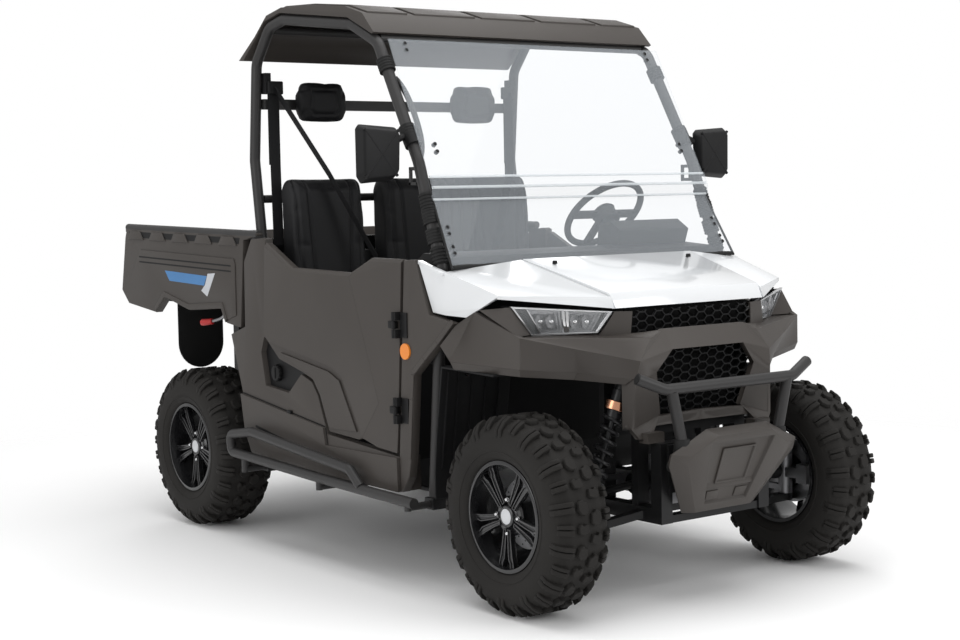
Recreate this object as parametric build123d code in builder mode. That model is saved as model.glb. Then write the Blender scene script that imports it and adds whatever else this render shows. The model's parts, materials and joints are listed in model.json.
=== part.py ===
# Side by side utility vehicle, two doors, tilting cargo bed.  Millimetres, +Z up, front towards -Y.
# Fore-and-aft places are stations, measured back from the front axle; heights are from the ground.
# Shapes that exist on both sides are made on the +X side (the vehicle's left) and mirrored.
import os
from math import cos, radians, sin

from build123d import *

os.makedirs("parts", exist_ok=True)

# ---------------------------------------------------------------- driving dimensions
wheelbase = 2106.0
front_axle_y = -1195.0          # station 0 in the model's frame
tyre_radius = 330.0             # to the tips of the lugs
rim_radius = 184.0              # flange of a 14 inch rim
barrel_radius = 176.0
barrel_wall = 6.0
rim_flange = 8.0
front_tyre_width = 225.0
rear_tyre_width = 250.0
front_rim_width = 195.0
rear_rim_width = 220.0
front_wheel_x = 639.5           # middle of the front tyre
rear_wheel_x = 643.0
kingpin_x = 600.0
seat_gap = 0.3                  # between neighbours that are seated on each other
pin_gap = 0.1                   # radial clearance of a hinge pin
moving_gap = 5.0                # between pieces that move past each other

body_x = 725.0                  # outer face of the side panels
panel_wall = 35.0
door_x = 737.0                  # outer face of the doors
door_wall = 35.0
bed_x = 720.0                   # outer face of the bed's sides
bed_wall = 30.0
tub_half_width = 620.0
tub_wall = 18.0

rail_x = 230.0                  # middle of the frame rails
rail_side = 50.0
rail_bottom = 275.0
cross_height = 25.0
cage_x = 650.0
cage_radius = 21.0
cage_foot_x = 665.0

hinge_x = 750.0                 # door hinge axis
hinge_station = 580.0
hinge_radius = 8.0
hinge_pin_radius = 5.0
hood_axis = (-113.0, 1004.0)    # station and height
hood_pin_radius = 4.0
hood_pin_end = 328.0
bed_axis = (2565.0, 880.0)
bed_pin_radius = 10.0
tailgate_axis = (2712.0, 926.0)
tailgate_pin_radius = 7.0
steering_wheel_centre = (384.0, 750.0, 1285.0)
steering_axis = (0.0, 0.72, 0.694)
steering_wheel_radius = 164.0

frame_front = -240.0
front_top = 545.0
frame_back = 2600.0
rail_top = rail_bottom + rail_side
cross_top = rail_bottom + cross_height
axle_height = tyre_radius
rear_axle = wheelbase
floor_height = rail_top + seat_gap


def at(x, station, height):
    """A point of the vehicle in the model's frame."""
    return Vector(x, station + front_axle_y, height)


def side_points(outline):
    """(station, height) pairs as points of a plane that looks across the vehicle."""
    return [(station + front_axle_y, height) for station, height in outline]


def slab(outline, x_low, x_high, mode=Mode.ADD):
    """A side outline of (station, height) pairs, extruded across from x_low to x_high."""
    with BuildSketch(Plane.YZ.offset(x_low)) as face:
        with BuildLine():
            Polyline(*side_points(outline), close=True)
        make_face()
    extrude(face.sketch, amount=x_high - x_low, mode=mode)


def plate(outline, height_low, height_high, mode=Mode.ADD):
    """A plan outline of (x, station) pairs, extruded up."""
    with BuildSketch(Plane.XY.offset(height_low)) as face:
        with BuildLine():
            Polyline(*[(x, station + front_axle_y) for x, station in outline], close=True)
        make_face()
    extrude(face.sketch, amount=height_high - height_low, mode=mode)


def block(x_low, x_high, station_low, station_high, height_low, height_high, mode=Mode.ADD):
    """A rectangular block by its limits."""
    outline = [(station_low, height_low), (station_high, height_low),
               (station_high, height_high), (station_low, height_high)]
    slab(outline, x_low, x_high, mode)


def panel(corners, depth, mode=Mode.ADD):
    """A four-cornered panel.  Corners are (x, station, height) in order round it, and depth is the
    (x, station, height) step from its outer face to its inner one."""
    first, second, third, fourth = [at(*corner) for corner in corners]
    step = Vector(*depth)
    near = Face(Wire.make_polygon([first, second, second + step, first + step]))
    far = Face(Wire.make_polygon([fourth, third, third + step, fourth + step]))
    loft([near, far], ruled=True, mode=mode)


def rod(points, radius, bend=0.0, mode=Mode.ADD):
    """A round bar or tube through (x, station, height) points, with bends of one radius."""
    places = [at(*point) for point in points]
    with BuildLine() as path:
        if len(places) > 2:
            FilletPolyline(*places, radius=bend)
        else:
            Line(*places)
    with BuildSketch(Plane(origin=path.line @ 0, z_dir=path.line % 0)) as ring:
        Circle(radius)
    sweep(ring.sketch, path=path.line, mode=mode)


def finish(node, name):
    """Labels a finished piece and writes it."""
    node.part.label = name
    export_step(node.part, "parts/" + name + ".step")


# ---------------------------------------------------------------- wheels
tread_pitches = 14              # each has a long and a short lug in either row
pitch_angle = 360 / tread_pitches
facet_share = cos(radians(pitch_angle / 2))     # of a facet's middle against its ends
lug_half_length = 18.0          # along the tread
lug_foot = 296.0
tread_radius = 316.0            # of the carcass between the lugs
tread_edge = 46.0               # in from the tyre's widest place
middle_groove = 7.0             # half width


def tyre_profile(width, rim_width):
    """Carcass half-section as (offset from the tyre's middle, radius at a facet's ends)."""
    half = width / 2
    bead = rim_width / 2 - rim_flange - seat_gap
    one_side = [(bead, (barrel_radius + seat_gap) / facet_share), (bead, (rim_radius + 1) / facet_share),
                (half, rim_radius + 56), (half - tread_edge, tread_radius)]
    return one_side + [(-offset, radius) for offset, radius in reversed(one_side)]


def long_lug(half):
    """Section of a lug that runs from the middle groove over the shoulder on to the sidewall."""
    return [(middle_groove, lug_foot), (middle_groove, tyre_radius), (half - tread_edge, tyre_radius),
            (half - 2, tyre_radius - 44), (half - 30, tyre_radius - 75)]


def short_lug(half):
    """Section of a lug that stands on the tread alone."""
    return [(middle_groove, lug_foot), (middle_groove, tyre_radius), (half - tread_edge - 6, tyre_radius),
            (half - tread_edge - 6, lug_foot)]


def tyre(side, centre_x, station, width, rim_width):
    """A carcass of flat facets, one for each pitch, with its lugs.  A long lug stands on the ground."""
    centre = at(side * centre_x, station, axle_height)
    bottom = -90

    def ring_point(offset, radius, step):
        angle = radians(pitch_angle * (step + 0.5) + bottom)
        return centre + Vector(offset, radius * cos(angle), radius * sin(angle))

    def lug(section, way, angle):
        outward = Vector(0, cos(radians(angle)), sin(radians(angle)))
        along = Vector(0, -outward.Z, outward.Y) * lug_half_length
        corners = [centre + Vector(way * offset, 0, 0) + outward * radius for offset, radius in section]
        return Solid.extrude(Face(Wire.make_polygon([corner - along for corner in corners])), along * 2)

    profile = tyre_profile(width, rim_width)
    facets = []
    for (offset, radius), (next_offset, next_radius) in zip(profile, profile[1:] + profile[:1]):
        for step in range(tread_pitches):
            facets.append(Face(Wire.make_polygon([
                ring_point(offset, radius, step), ring_point(offset, radius, step + 1),
                ring_point(next_offset, next_radius, step + 1), ring_point(next_offset, next_radius, step)])))
    lugs = []
    for step in range(tread_pitches):
        angle = bottom + step * pitch_angle
        lugs += [lug(long_lug(width / 2), side, angle),
                 lug(short_lug(width / 2), side, angle + pitch_angle / 2),
                 lug(long_lug(width / 2), -side, angle + pitch_angle / 4),
                 lug(short_lug(width / 2), -side, angle - pitch_angle / 4)]
    with BuildPart() as ring:
        add(Solid(Shell(facets)))
        add(lugs)
    return ring


hub_radius = 62.0
spindle_radius = 20.0
spindle_reach = 40.0            # past the wheel's middle
disc_offset = 68.0              # outer face of the spoked disc, from the wheel's middle
disc_wall = 16.0
spoke_count = 5
brake_radius = 118.0
brake_offset = -8.0
brake_wall = 5.0


def wheel(side, centre_x, station, rim_width):
    half = rim_width / 2
    plane = Plane(origin=at(side * centre_x, station, axle_height), x_dir=(side, 0, 0), z_dir=(0, -side, 0))
    outward = Plane(origin=at(side * centre_x, station, axle_height), z_dir=(side, 0, 0))
    flange = rim_flange
    lip = 5.0
    inner = barrel_radius - barrel_wall
    with BuildPart() as rim:
        with BuildSketch(plane):
            with BuildLine():
                Polyline((-half, inner), (half, inner), (half, rim_radius), (half - lip, rim_radius),
                         (half - flange, barrel_radius), (-half + flange, barrel_radius),
                         (-half + lip, rim_radius), (-half, rim_radius), close=True)
            make_face()
            with BuildLine():
                Polyline((brake_offset, 0), (brake_offset, brake_radius),
                         (brake_offset + brake_wall, brake_radius), (brake_offset + brake_wall, hub_radius),
                         (disc_offset - disc_wall, hub_radius), (disc_offset - disc_wall, inner),
                         (disc_offset, inner), (disc_offset, hub_radius), (disc_offset + 14, hub_radius - 20),
                         (disc_offset + 14, 0), close=True)
            make_face()
        revolve(axis=Axis(plane.origin, (1, 0, 0)))
        # windows between the spokes, five wide and five narrow
        with BuildSketch(outward.offset(disc_offset - disc_wall - 1)):
            with PolarLocations(0, spoke_count, start_angle=18):
                Polygon((90, -14), (158, -58), (158, 58), (90, 14), align=None)
            with PolarLocations(0, spoke_count, start_angle=18 + 180 / spoke_count):
                Polygon((88, -4), (160, -16), (160, 16), (88, 4), align=None)
        extrude(amount=disc_wall + 2, mode=Mode.SUBTRACT)
        # blind bore for the spindle, open towards the knuckle
        with BuildSketch(outward.offset(brake_offset)):
            Circle(spindle_radius + seat_gap)
        extrude(amount=spindle_reach - brake_offset + moving_gap, mode=Mode.SUBTRACT)
    return rim


wheel_table = [  # name, side, middle x, station, tyre width, rim width
    ("front_right", -1, front_wheel_x, 0.0, front_tyre_width, front_rim_width),
    ("front_left", 1, front_wheel_x, 0.0, front_tyre_width, front_rim_width),
    ("rear_right", -1, rear_wheel_x, rear_axle, rear_tyre_width, rear_rim_width),
    ("rear_left", 1, rear_wheel_x, rear_axle, rear_tyre_width, rear_rim_width),
]
for corner, side, middle_x, station, tyre_width, rim_width in wheel_table:
    finish(tyre(side, middle_x, station, tyre_width, rim_width), "tyre_" + corner)
    finish(wheel(side, middle_x, station, rim_width), "wheel_" + corner)

# ---------------------------------------------------------------- knuckles and suspension
post_radius = 26.0
post_bottom = 250.0
post_top = 415.0
eye_height = 26.0
spindle_tip = spindle_reach - 1
steering_arm_bottom = 262.0     # passes between the lower arm and the drive shaft's boot


def knuckle(side, station, wheel_x, steering_arm):
    """Post, spindle and brake caliper of one wheel; a front one also has the steering arm."""
    block_low, block_high = sorted((side * (kingpin_x - 20), side * (kingpin_x + 24)))
    rod([(side * kingpin_x, station, post_bottom), (side * kingpin_x, station, post_top)], post_radius)
    rod([(side * kingpin_x, station, axle_height), (side * (wheel_x + spindle_tip), station, axle_height)],
        spindle_radius)
    block(block_low, block_high, station - 120, station - 70, axle_height - 35, axle_height + 35)
    block(block_low, block_high, station - 71, station, axle_height - 18, axle_height + 18)
    if steering_arm:
        arm_low, arm_high = sorted((side * (kingpin_x - 26), side * (kingpin_x - 2)))
        block(arm_low, arm_high, station, station + 80, steering_arm_bottom, steering_arm_bottom + 20)


for corner, side in [("right", -1), ("left", 1)]:
    with BuildPart() as front_knuckle:
        knuckle(side, 0.0, front_wheel_x, True)
    finish(front_knuckle, "knuckle_front_" + corner)

with BuildPart() as rear_knuckles:
    for side in (-1, 1):
        knuckle(side, rear_axle, rear_wheel_x, False)
finish(rear_knuckles, "rear_knuckles")

arm_root_x = rail_x + rail_side / 2 + seat_gap
fork_x = 470.0
eye_bottom = post_bottom - seat_gap - eye_height
eye_top = post_top + seat_gap
arm_table = [  # axle, eye bottom, root bottom, thickness, half width at the fork, root spread, root width
    (0.0, eye_bottom, 285.0, eye_height, 30.0, 150.0, 36.0),
    (0.0, eye_top, 400.0, 20.0, 20.0, 22.0, 22.0),
    (rear_axle, eye_bottom, 285.0, eye_height, 30.0, 150.0, 36.0),
    (rear_axle, eye_top, 400.0, 20.0, 20.0, 22.0, 22.0),
]
tower_x = rail_x + rail_side / 2    # outer face of the shock towers

with BuildPart() as suspension_arms:
    for axle, bottom, root_bottom, thickness, fork_half, spread, root_width in arm_table:
        with BuildPart() as arm:
            rod([(kingpin_x, axle, bottom), (kingpin_x, axle, bottom + thickness)], post_radius)
            panel([(kingpin_x, axle - 20, bottom), (kingpin_x, axle + 20, bottom),
                   (fork_x, axle + fork_half, bottom), (fork_x, axle - fork_half, bottom)],
                  (0, 0, thickness))
            for way in (-1, 1):
                panel([(fork_x + 10, axle, bottom), (fork_x + 10, axle + way * fork_half, bottom),
                       (arm_root_x, axle + way * spread, root_bottom),
                       (arm_root_x, axle + way * (spread - root_width), root_bottom)], (0, 0, thickness))
        add(arm.part)
    mirror(about=Plane.YZ)
finish(suspension_arms, "suspension_arms")

shock_lean = -52.0             # from foot to head, towards the front
shock_foot_offset = -48.0       # ahead of the drive shaft
shock_table = [  # station, foot x, foot height, head x, head height
    (0.0, 432.0, 269.5, 292.0, 745.0),
    (rear_axle, 440.0, 269.5, 300.0, 790.0),
]
with BuildPart() as shock_absorbers:
    for axle, foot_x, foot_height, head_x, head_height in shock_table:
        run = Vector(head_x - foot_x, shock_lean, head_height - foot_height)
        foot = Vector(foot_x, axle + shock_foot_offset, foot_height + seat_gap)
        for start, end, radius in [(0.0, 1.0, 12), (0.05, 0.13, 26), (0.13, 0.80, 34), (0.80, 0.86, 42),
                                   (0.86, 0.97, 24)]:
            rod([tuple(foot + run * start), tuple(foot + run * end)], radius)
    mirror(about=Plane.YZ)
finish(shock_absorbers, "shock_absorbers")

case_bottom = cross_top
case_top = 450.0
case_half = 80.0
shaft_radius = 14.0
boot_radius = 28.0              # small enough for the knuckle to turn past it
shaft_start = case_half + 14
shaft_end = kingpin_x - 37
with BuildPart() as drive_shafts:
    for axle in (0.0, rear_axle):
        rod([(shaft_start, axle, 378), (shaft_end, axle, 335)], shaft_radius)
        rod([(shaft_start, axle, 378), (shaft_start + 70, axle, 371.5)], 36)
        rod([(shaft_end - 78, axle, 342.2), (shaft_end - 10, axle, 335.9)], boot_radius)
    mirror(about=Plane.YZ)
finish(drive_shafts, "drive_shafts")

engine_front = 1600.0
engine_back = 1960.0
with BuildPart() as powertrain:
    block(-190, 190, engine_front, engine_back, case_bottom, 760)
    block(-case_half - 10, case_half + 10, -case_half, case_half, case_bottom, case_top)
    block(-case_half - 10, case_half + 10, rear_axle - case_half, rear_axle + case_half, case_bottom, case_top)
    rod([(0, case_half, 312.5), (0, engine_front, 312.5)], 11.5)
    rod([(0, engine_back, 380), (0, rear_axle - case_half, 380)], 16)
finish(powertrain, "powertrain")

rack_station = 66.0
with BuildPart() as steering_rack:
    block(-tower_x, tower_x, rack_station + 30, rack_station + 70, case_bottom + 50, case_bottom + 90)
    for side in (-1, 1):
        block(*sorted((side * (tower_x - rail_side), side * tower_x)), rack_station + 30, rack_station + 70,
              rail_top + seat_gap, case_bottom + 60)
        rod([(side * 180, rack_station + 50, 366), (side * (kingpin_x - 14), rack_station, 302)], 9)
finish(steering_rack, "steering_rack")

# ---------------------------------------------------------------- frame
outrigger_table = [  # station, half length along the vehicle
    (470.0, 25.0), (1040.0, 20.0), (1590.0, 25.0)]
cross_stations = [frame_front + 25, -60, 60, 430, 1040, 1590, 1700, 1900, rear_axle - 60, rear_axle + 60,
                  2350, frame_back - 25]
outrigger_x = 690.0
pad_radius = 22.0
bed_floor_bottom = 930.0
rail_inner = rail_x - rail_side / 2
tower_table = [  # axle, height of the top
    (0.0, 780.0), (rear_axle, 820.0)]
upright_table = [  # first and last station, height of the top
    (frame_front, frame_front + 50, front_top),
    (1650, 1690, bed_floor_bottom - seat_gap - 10),
    (bed_axis[0] - 25, bed_axis[0] + 25, bed_axis[1] + 22)]
with BuildPart() as frame:
    block(rail_inner, tower_x, frame_front, frame_back, rail_bottom, rail_top)
    for first, last, top in upright_table:
        block(rail_inner, tower_x, first, last, rail_top, top)
    rod([(rail_x, *bed_axis), (rail_x + 62, *bed_axis)], bed_pin_radius)
    rod([(rail_x, 1670, bed_floor_bottom - seat_gap - 10), (rail_x, 1670, bed_floor_bottom - seat_gap)],
        pad_radius)
    for station, half in outrigger_table:
        block(rail_x, outrigger_x, station - half, station + half, rail_bottom + 10, rail_top)
    block(outrigger_x - 45, outrigger_x, 1020, 1060, rail_top, 338.4)
    mirror(about=Plane.YZ)
finish(frame, "frame")

with BuildPart() as shock_towers:
    for axle, top in tower_table:
        for first, last in [(axle - 125, axle - 95), (axle + 40, axle + 65)]:
            block(rail_inner, tower_x, first, last, rail_top + seat_gap, top)
        block(rail_inner, tower_x, axle - 125, axle + 65, top - 40, top)
    for station, foot_x, foot_height, head_x, head_height in shock_table:
        head = station + shock_foot_offset + shock_lean
        block(tower_x, tower_x + 70, head - 25, head + 25, head_height + 3.8, head_height + 16)
    mirror(about=Plane.YZ)
finish(shock_towers, "shock_towers")

cross_table = [  # first and last station, bottom, top
    (-30, 30, 740, 780), (rear_axle - 30, rear_axle + 30, 780, 820),
    (frame_front, frame_front + 50, front_top - 40, front_top),
    (1650, 1690, 800, 840), (bed_axis[0] - 20, bed_axis[0] + 20, 700, 740)]
cross_half = rail_inner - seat_gap
winch_plate_wall = 12.0
winch_bolt_half_spacing = 62.0
winch_bolt_height = 460.0
with BuildPart() as cross_members:
    for station in cross_stations:
        block(-cross_half, cross_half, station - 20, station + 20, rail_bottom, cross_top)
    for first, last, bottom, top in cross_table:
        block(-cross_half, cross_half, first, last, bottom, top)
    # plate that carries the winch, two bolt holes
    block(-rail_x, rail_x, frame_front - winch_plate_wall, frame_front - seat_gap, 380, 540)
    for side in (-1, 1):
        rod([(side * winch_bolt_half_spacing, frame_front - winch_plate_wall - 1, winch_bolt_height),
             (side * winch_bolt_half_spacing, frame_front + 1, winch_bolt_height)], 5, mode=Mode.SUBTRACT)
finish(cross_members, "cross_members")

radiator_half = rail_x - rail_side / 2 - seat_gap
with BuildPart() as radiator:
    block(-radiator_half, radiator_half, -128, -88, 560, 860)
finish(radiator, "radiator")

with BuildPart() as muffler:
    rod([(-230, 2440, 560), (230, 2440, 560)], 78)
    rod([(150, 2440, 560), (150, 2560, 560), (150, 2640, 500)], 24, 40)
    for side in (-1, 1):
        block(side * 160 - 15, side * 160 + 15, 2400, 2480, 630, 700)
        block(side * 160 - 15, side * 160 + 15, 2440, bed_axis[0] - 20 - seat_gap, 690, 730)
finish(muffler, "muffler")

hitch_outer = 64.0
hitch_inner = 51.0
hitch_bottom = cross_top
hitch_end = 2745.0
hitch_pin_radius = 8.0
with BuildPart() as tow_hitch:
    middle = hitch_bottom + hitch_outer / 2
    block(-hitch_outer / 2, hitch_outer / 2, frame_back - 40, hitch_end, hitch_bottom,
          hitch_bottom + hitch_outer)
    block(-hitch_inner / 2, hitch_inner / 2, frame_back - 20, hitch_end + 1, middle - hitch_inner / 2,
          middle + hitch_inner / 2, Mode.SUBTRACT)
    rod([(-hitch_outer, hitch_end - 60, middle), (hitch_outer, hitch_end - 60, middle)], hitch_pin_radius,
        mode=Mode.SUBTRACT)
finish(tow_hitch, "tow_hitch")

# ---------------------------------------------------------------- floor, dash and inner linings
firewall = 455.0
seat_front = 1090.0
seat_base = 715.0
back_wall = 1575.0
sill_inset = 15.0
with BuildPart() as floor_tub:
    inner = [(firewall, 1000), (firewall, 470), (520, floor_height + tub_wall),
             (seat_front, floor_height + tub_wall), (seat_front, seat_base), (back_wall, seat_base),
             (back_wall, 1150)]
    outer = [(back_wall + tub_wall, 1150), (back_wall + tub_wall, seat_base - tub_wall),
             (seat_front + tub_wall, seat_base - tub_wall), (seat_front + tub_wall, floor_height),
             (512, floor_height), (firewall - tub_wall, 462), (firewall - tub_wall, 1000)]
    slab(inner + outer, -tub_half_width, tub_half_width)
finish(floor_tub, "floor_tub")

liner_inner_x = 385.0
liner_outer_x = tub_half_width + sill_inset - seat_gap
liner_wall = 8.0
with BuildPart() as arch_liners:
    liner_back = firewall - tub_wall - seat_gap
    lining = [(-30, 775), (380, 784), (414, 560), (liner_back - liner_wall, 420),
              (liner_back - liner_wall, floor_height)]
    cover = [(liner_back, floor_height), (liner_back, 422), (422, 561), (387, 792), (-30, 783)]
    slab(lining + cover, liner_inner_x, body_x - panel_wall - seat_gap)
    rear_lining = [(1640, floor_height + 40), (1685, 560), (1790, 730), (1900, 800), (1900, 808),
                   (1786, 738), (1678, 564), (1632, floor_height + 40)]
    slab(rear_lining, 420, liner_outer_x)
    mirror(about=Plane.YZ)
finish(arch_liners, "arch_liners")

column_radius = 22.0
shaft_stub = 14.0
axis_dir = Vector(*steering_axis).normalized()
wheel_middle = Vector(*steering_wheel_centre)


def on_column(distance):
    """A point of the steering column, by its distance in front of the steering wheel's middle."""
    place = wheel_middle - axis_dir * distance
    return (place.X, place.Y, place.Z)


dash_profile = [(336, 1092), (336, 1120), (345, 1122), (400, 1160), (560, 1172), (640, 1120), (655, 1040),
                (640, 1000), (firewall - tub_wall - 20, 1000 + seat_gap), (430, 1080)]
pod_profile = [(520, 1166), (500, 1225), (560, 1262), (625, 1245), (640, 1130), (600, 1120)]
dash_half = 628.0
with BuildPart() as dashboard:
    slab(dash_profile, -dash_half, dash_half)
    slab(pod_profile, 243, 600)
    block(-560, -160, 600, 660, 1060, 1120, Mode.SUBTRACT)     # glove box
    rod([on_column(260), on_column(20)], column_radius + seat_gap, mode=Mode.SUBTRACT)
finish(dashboard, "dashboard")

with BuildPart() as steering_column:
    rod([on_column(168), on_column(52)], column_radius)
    rod([on_column(52), on_column(20)], shaft_stub)
finish(steering_column, "steering_column")

rim_tube = 13.0
with BuildPart() as steering_wheel:
    wheel_plane = Plane(origin=at(*steering_wheel_centre), x_dir=(1, 0, 0), z_dir=tuple(axis_dir))
    with BuildSketch(Plane(origin=wheel_plane.origin, x_dir=(1, 0, 0),
                           z_dir=tuple(axis_dir.cross(Vector(1, 0, 0))))):
        with Locations((steering_wheel_radius, 0)):
            Circle(rim_tube)
    revolve(axis=Axis(wheel_plane.origin, tuple(axis_dir)))
    with BuildSketch(wheel_plane.offset(-45)):
        Circle(46)
    extrude(amount=50)
    with BuildSketch(wheel_plane.offset(-8)):
        for turn in (0, 180, 90):
            with Locations(Location((0, 0, 0), (0, 0, turn))):
                with Locations((steering_wheel_radius / 2 + 12, 0)):
                    Rectangle(steering_wheel_radius - 24, 34)
    extrude(amount=12)
    with BuildSketch(wheel_plane.offset(-46)):
        Circle(shaft_stub + pin_gap)
    extrude(amount=31, mode=Mode.SUBTRACT)
finish(steering_wheel, "steering_wheel")

# ---------------------------------------------------------------- body sides
door_outline = [(1470, 1197), (1277, 1105), (880, 1097), (752, 1154), (557, 1153), (594, 560), (604, 470),
                (725, 478), (853, 492), (1049, 502), (1112, 634), (1158, 688), (1234, 711), (1401, 749),
                (1496, 821)]
front_panel_outline = [(546, 1151), (479, 1153), (406, 968), (262, 945), (351, 870), (429, 809), (496, 755),
                       (505, 668), (524, 456), (538, 391), (580, 334), (589.7, 334), (594.7, 458)]
rear_panel_outline = [(1482, 1208), (1500, 1215), (1592, 1207), (1650, 1118), (1655, 860), (1768, 823),
                      (1687, 596), (1659, 444), (1600, 345), (590, 334), (595, 458), (1062, 490),
                      (1123, 628), (1164, 677), (1237, 700), (1405, 738), (1507, 814)]
sill_outline = [(1687, 590), (1659, 444), (1600, 345), (590, 334), (595, 456), (1061, 450), (1075, 514)]
sill_proud = 12.0
filler_recess = [(1400, 755), (1508, 830), (1534, 767), (1505, 636), (1333, 622), (1225, 712)]
filler_depth = 25.0
filler_cap_radius = 27.0

with BuildPart() as front_side_panels:
    slab(front_panel_outline, body_x - panel_wall, body_x)
    mirror(about=Plane.YZ)
finish(front_side_panels, "front_side_panels")

with BuildPart() as rear_side_panels:
    slab(rear_panel_outline, body_x - panel_wall, body_x)
    slab(sill_outline, tub_half_width + sill_inset, body_x - panel_wall)
    slab(sill_outline, body_x, body_x + sill_proud)
    slab(filler_recess, body_x - filler_depth, body_x + 1, Mode.SUBTRACT)
    rod([(body_x - filler_depth, 1440, 690), (body_x - 6, 1440, 690)], filler_cap_radius)
    mirror(about=Plane.YZ)
    # feet of the rear roll cage tubes pass through the sill
    for side in (-1, 1):
        block(side * cage_x - cage_radius - 3, side * cage_x + cage_radius + 3, 1560, 1625, 300, 700,
              Mode.SUBTRACT)
finish(rear_side_panels, "rear_side_panels")

hinge_table = [925.0, 625.0]    # heights of the door hinges
knuckle_half = 15.0
ear = 14.0
hinge_foot = 530.0


def hinge_ears(side, height):
    """Fixed half of a door hinge: two ears and a pin, standing on the front side panel."""
    for low in (height - knuckle_half - seat_gap - ear, height + knuckle_half + seat_gap):
        x_low, x_high = sorted((side * body_x, side * (hinge_x + hinge_radius)))
        block(x_low, x_high, hinge_foot, hinge_foot + 16, low, low + ear)
        x_low, x_high = sorted((side * (hinge_x - hinge_radius), side * (hinge_x + hinge_radius)))
        block(x_low, x_high, hinge_foot, hinge_station, low, low + ear)
        rod([(side * hinge_x, hinge_station, low), (side * hinge_x, hinge_station, low + ear)], hinge_radius)
    reach = knuckle_half + seat_gap + ear / 2
    rod([(side * hinge_x, hinge_station, height - reach), (side * hinge_x, hinge_station, height + reach)],
        hinge_pin_radius)


with BuildPart() as door_hinges:
    for side in (-1, 1):
        for height in hinge_table:
            hinge_ears(side, height)
finish(door_hinges, "door_hinges")

for corner, side in [("right", -1), ("left", 1)]:
    with BuildPart() as door:
        x_low, x_high = sorted((side * (door_x - door_wall), side * door_x))
        slab(door_outline, x_low, x_high)
        for height in hinge_table:
            x_low, x_high = sorted((side * door_x, side * (hinge_x + hinge_radius)))
            block(x_low, x_high, hinge_station + 36, hinge_station + 70, height - knuckle_half,
                  height + knuckle_half)
            x_low, x_high = sorted((side * (hinge_x - hinge_radius), side * (hinge_x + hinge_radius)))
            block(x_low, x_high, hinge_station, hinge_station + 70, height - knuckle_half,
                  height + knuckle_half)
            rod([(side * hinge_x, hinge_station, height - knuckle_half),
                 (side * hinge_x, hinge_station, height + knuckle_half)], hinge_radius)
            rod([(side * hinge_x, hinge_station, height - knuckle_half - 1),
                 (side * hinge_x, hinge_station, height + knuckle_half + 1)], hinge_pin_radius + pin_gap,
                mode=Mode.SUBTRACT)
    finish(door, "door_" + corner)

# ---------------------------------------------------------------- front end
# Corners as (x, station, height) on the +X side.
fascia_quads = [
    # centre ridge, its shelf up to the upper grille, and the shelf below the lamp
    ([(0, -190, 918), (188, -188, 918), (167, -207, 851), (0, -210, 851)], (0, 22, 0)),
    ([(0, -190, 918), (188, -188, 918), (277, -120, 904), (0, -120, 904)], (0, 0, -14)),
    ([(188, -188, 918), (252, -189, 892), (305, -199, 820), (167, -207, 851)], (0, 22, 0)),
    ([(188, -188, 918), (252, -189, 892), (392, -60, 912), (277, -120, 904)], (0, 0, -14)),
    ([(252, -189, 892), (659, -8, 908), (567, 60, 905), (392, -60, 912)], (0, 0, -14)),
    # wing below the lamp and the fender flare
    ([(252, -189, 892), (659, -8, 908), (502, -100, 868), (305, -199, 820)], (0, 22, 0)),
    ([(305, -199, 820), (502, -100, 868), (470, -70, 785), (318, -190, 760)], (0, 22, 0)),
    ([(502, -100, 868), (659, -8, 908), (660, -8, 805), (470, -70, 785)], (0, 22, 0)),
    ([(567, 60, 905), (613, 26, 906.5), (659, -8, 908), (640, 70, 912)], (0, 0, -14)),
    ([(659, -8, 908), (697, 184, 985), (720, 291, 814), (660, -8, 805)], (-22, 0, 0)),
    ([(697, 184, 985), (725, 250, 940), (725, 340, 866), (720, 291, 814)], (-22, 0, 0)),
    # between the lamp and the upper grille
    ([(279, -134, 980), (346, -121, 983), (388, -92, 900), (284, -130, 900)], (0, 8, 0)),
    # frame of the lower grille, its bar and its legs
    ([(167, -207, 851), (305, -199, 820), (318, -190, 760), (230, -196, 778)], (0, 22, 0)),
    ([(230, -196, 778), (318, -190, 760), (329, -180, 593), (190, -168, 632)], (0, 22, 0)),
    ([(190, -168, 632), (329, -180, 593), (303, -190, 558), (250, -194, 570)], (0, 22, 0)),
    ([(0, -166, 632), (205, -171, 626), (222, -176, 596), (0, -164, 596)], (0, 22, 0)),
    ([(318, -190, 760), (338, -142, 752), (336, -142, 588), (329, -180, 593)], (-12, 0, 0)),
]
with BuildPart() as front_fascia:
    for corners, depth in fascia_quads:
        panel(corners, depth)
    block(215, 290, -214, -172, front_top + seat_gap, 580)     # foot on the frame's front upright
    mirror(about=Plane.YZ)
finish(front_fascia, "front_fascia")

grille_wall = 8.0
cell_half_width = 17.0          # of the flattened hexagons
cell_half_height = 8.5
cell_wall = 5.0
upper_edge = [(277, 908), (272, 978)]       # (x, height) of a grille's right-hand edge, going up
lower_edge = [(196, -6), (236, 150), (172, 223)]        # heights up its own slope
upper_grille_station = -133.0
lower_grille_foot = (-143.6, 632.0)     # station and height
lower_grille_lean = 10.48               # degrees, top towards the front


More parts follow.
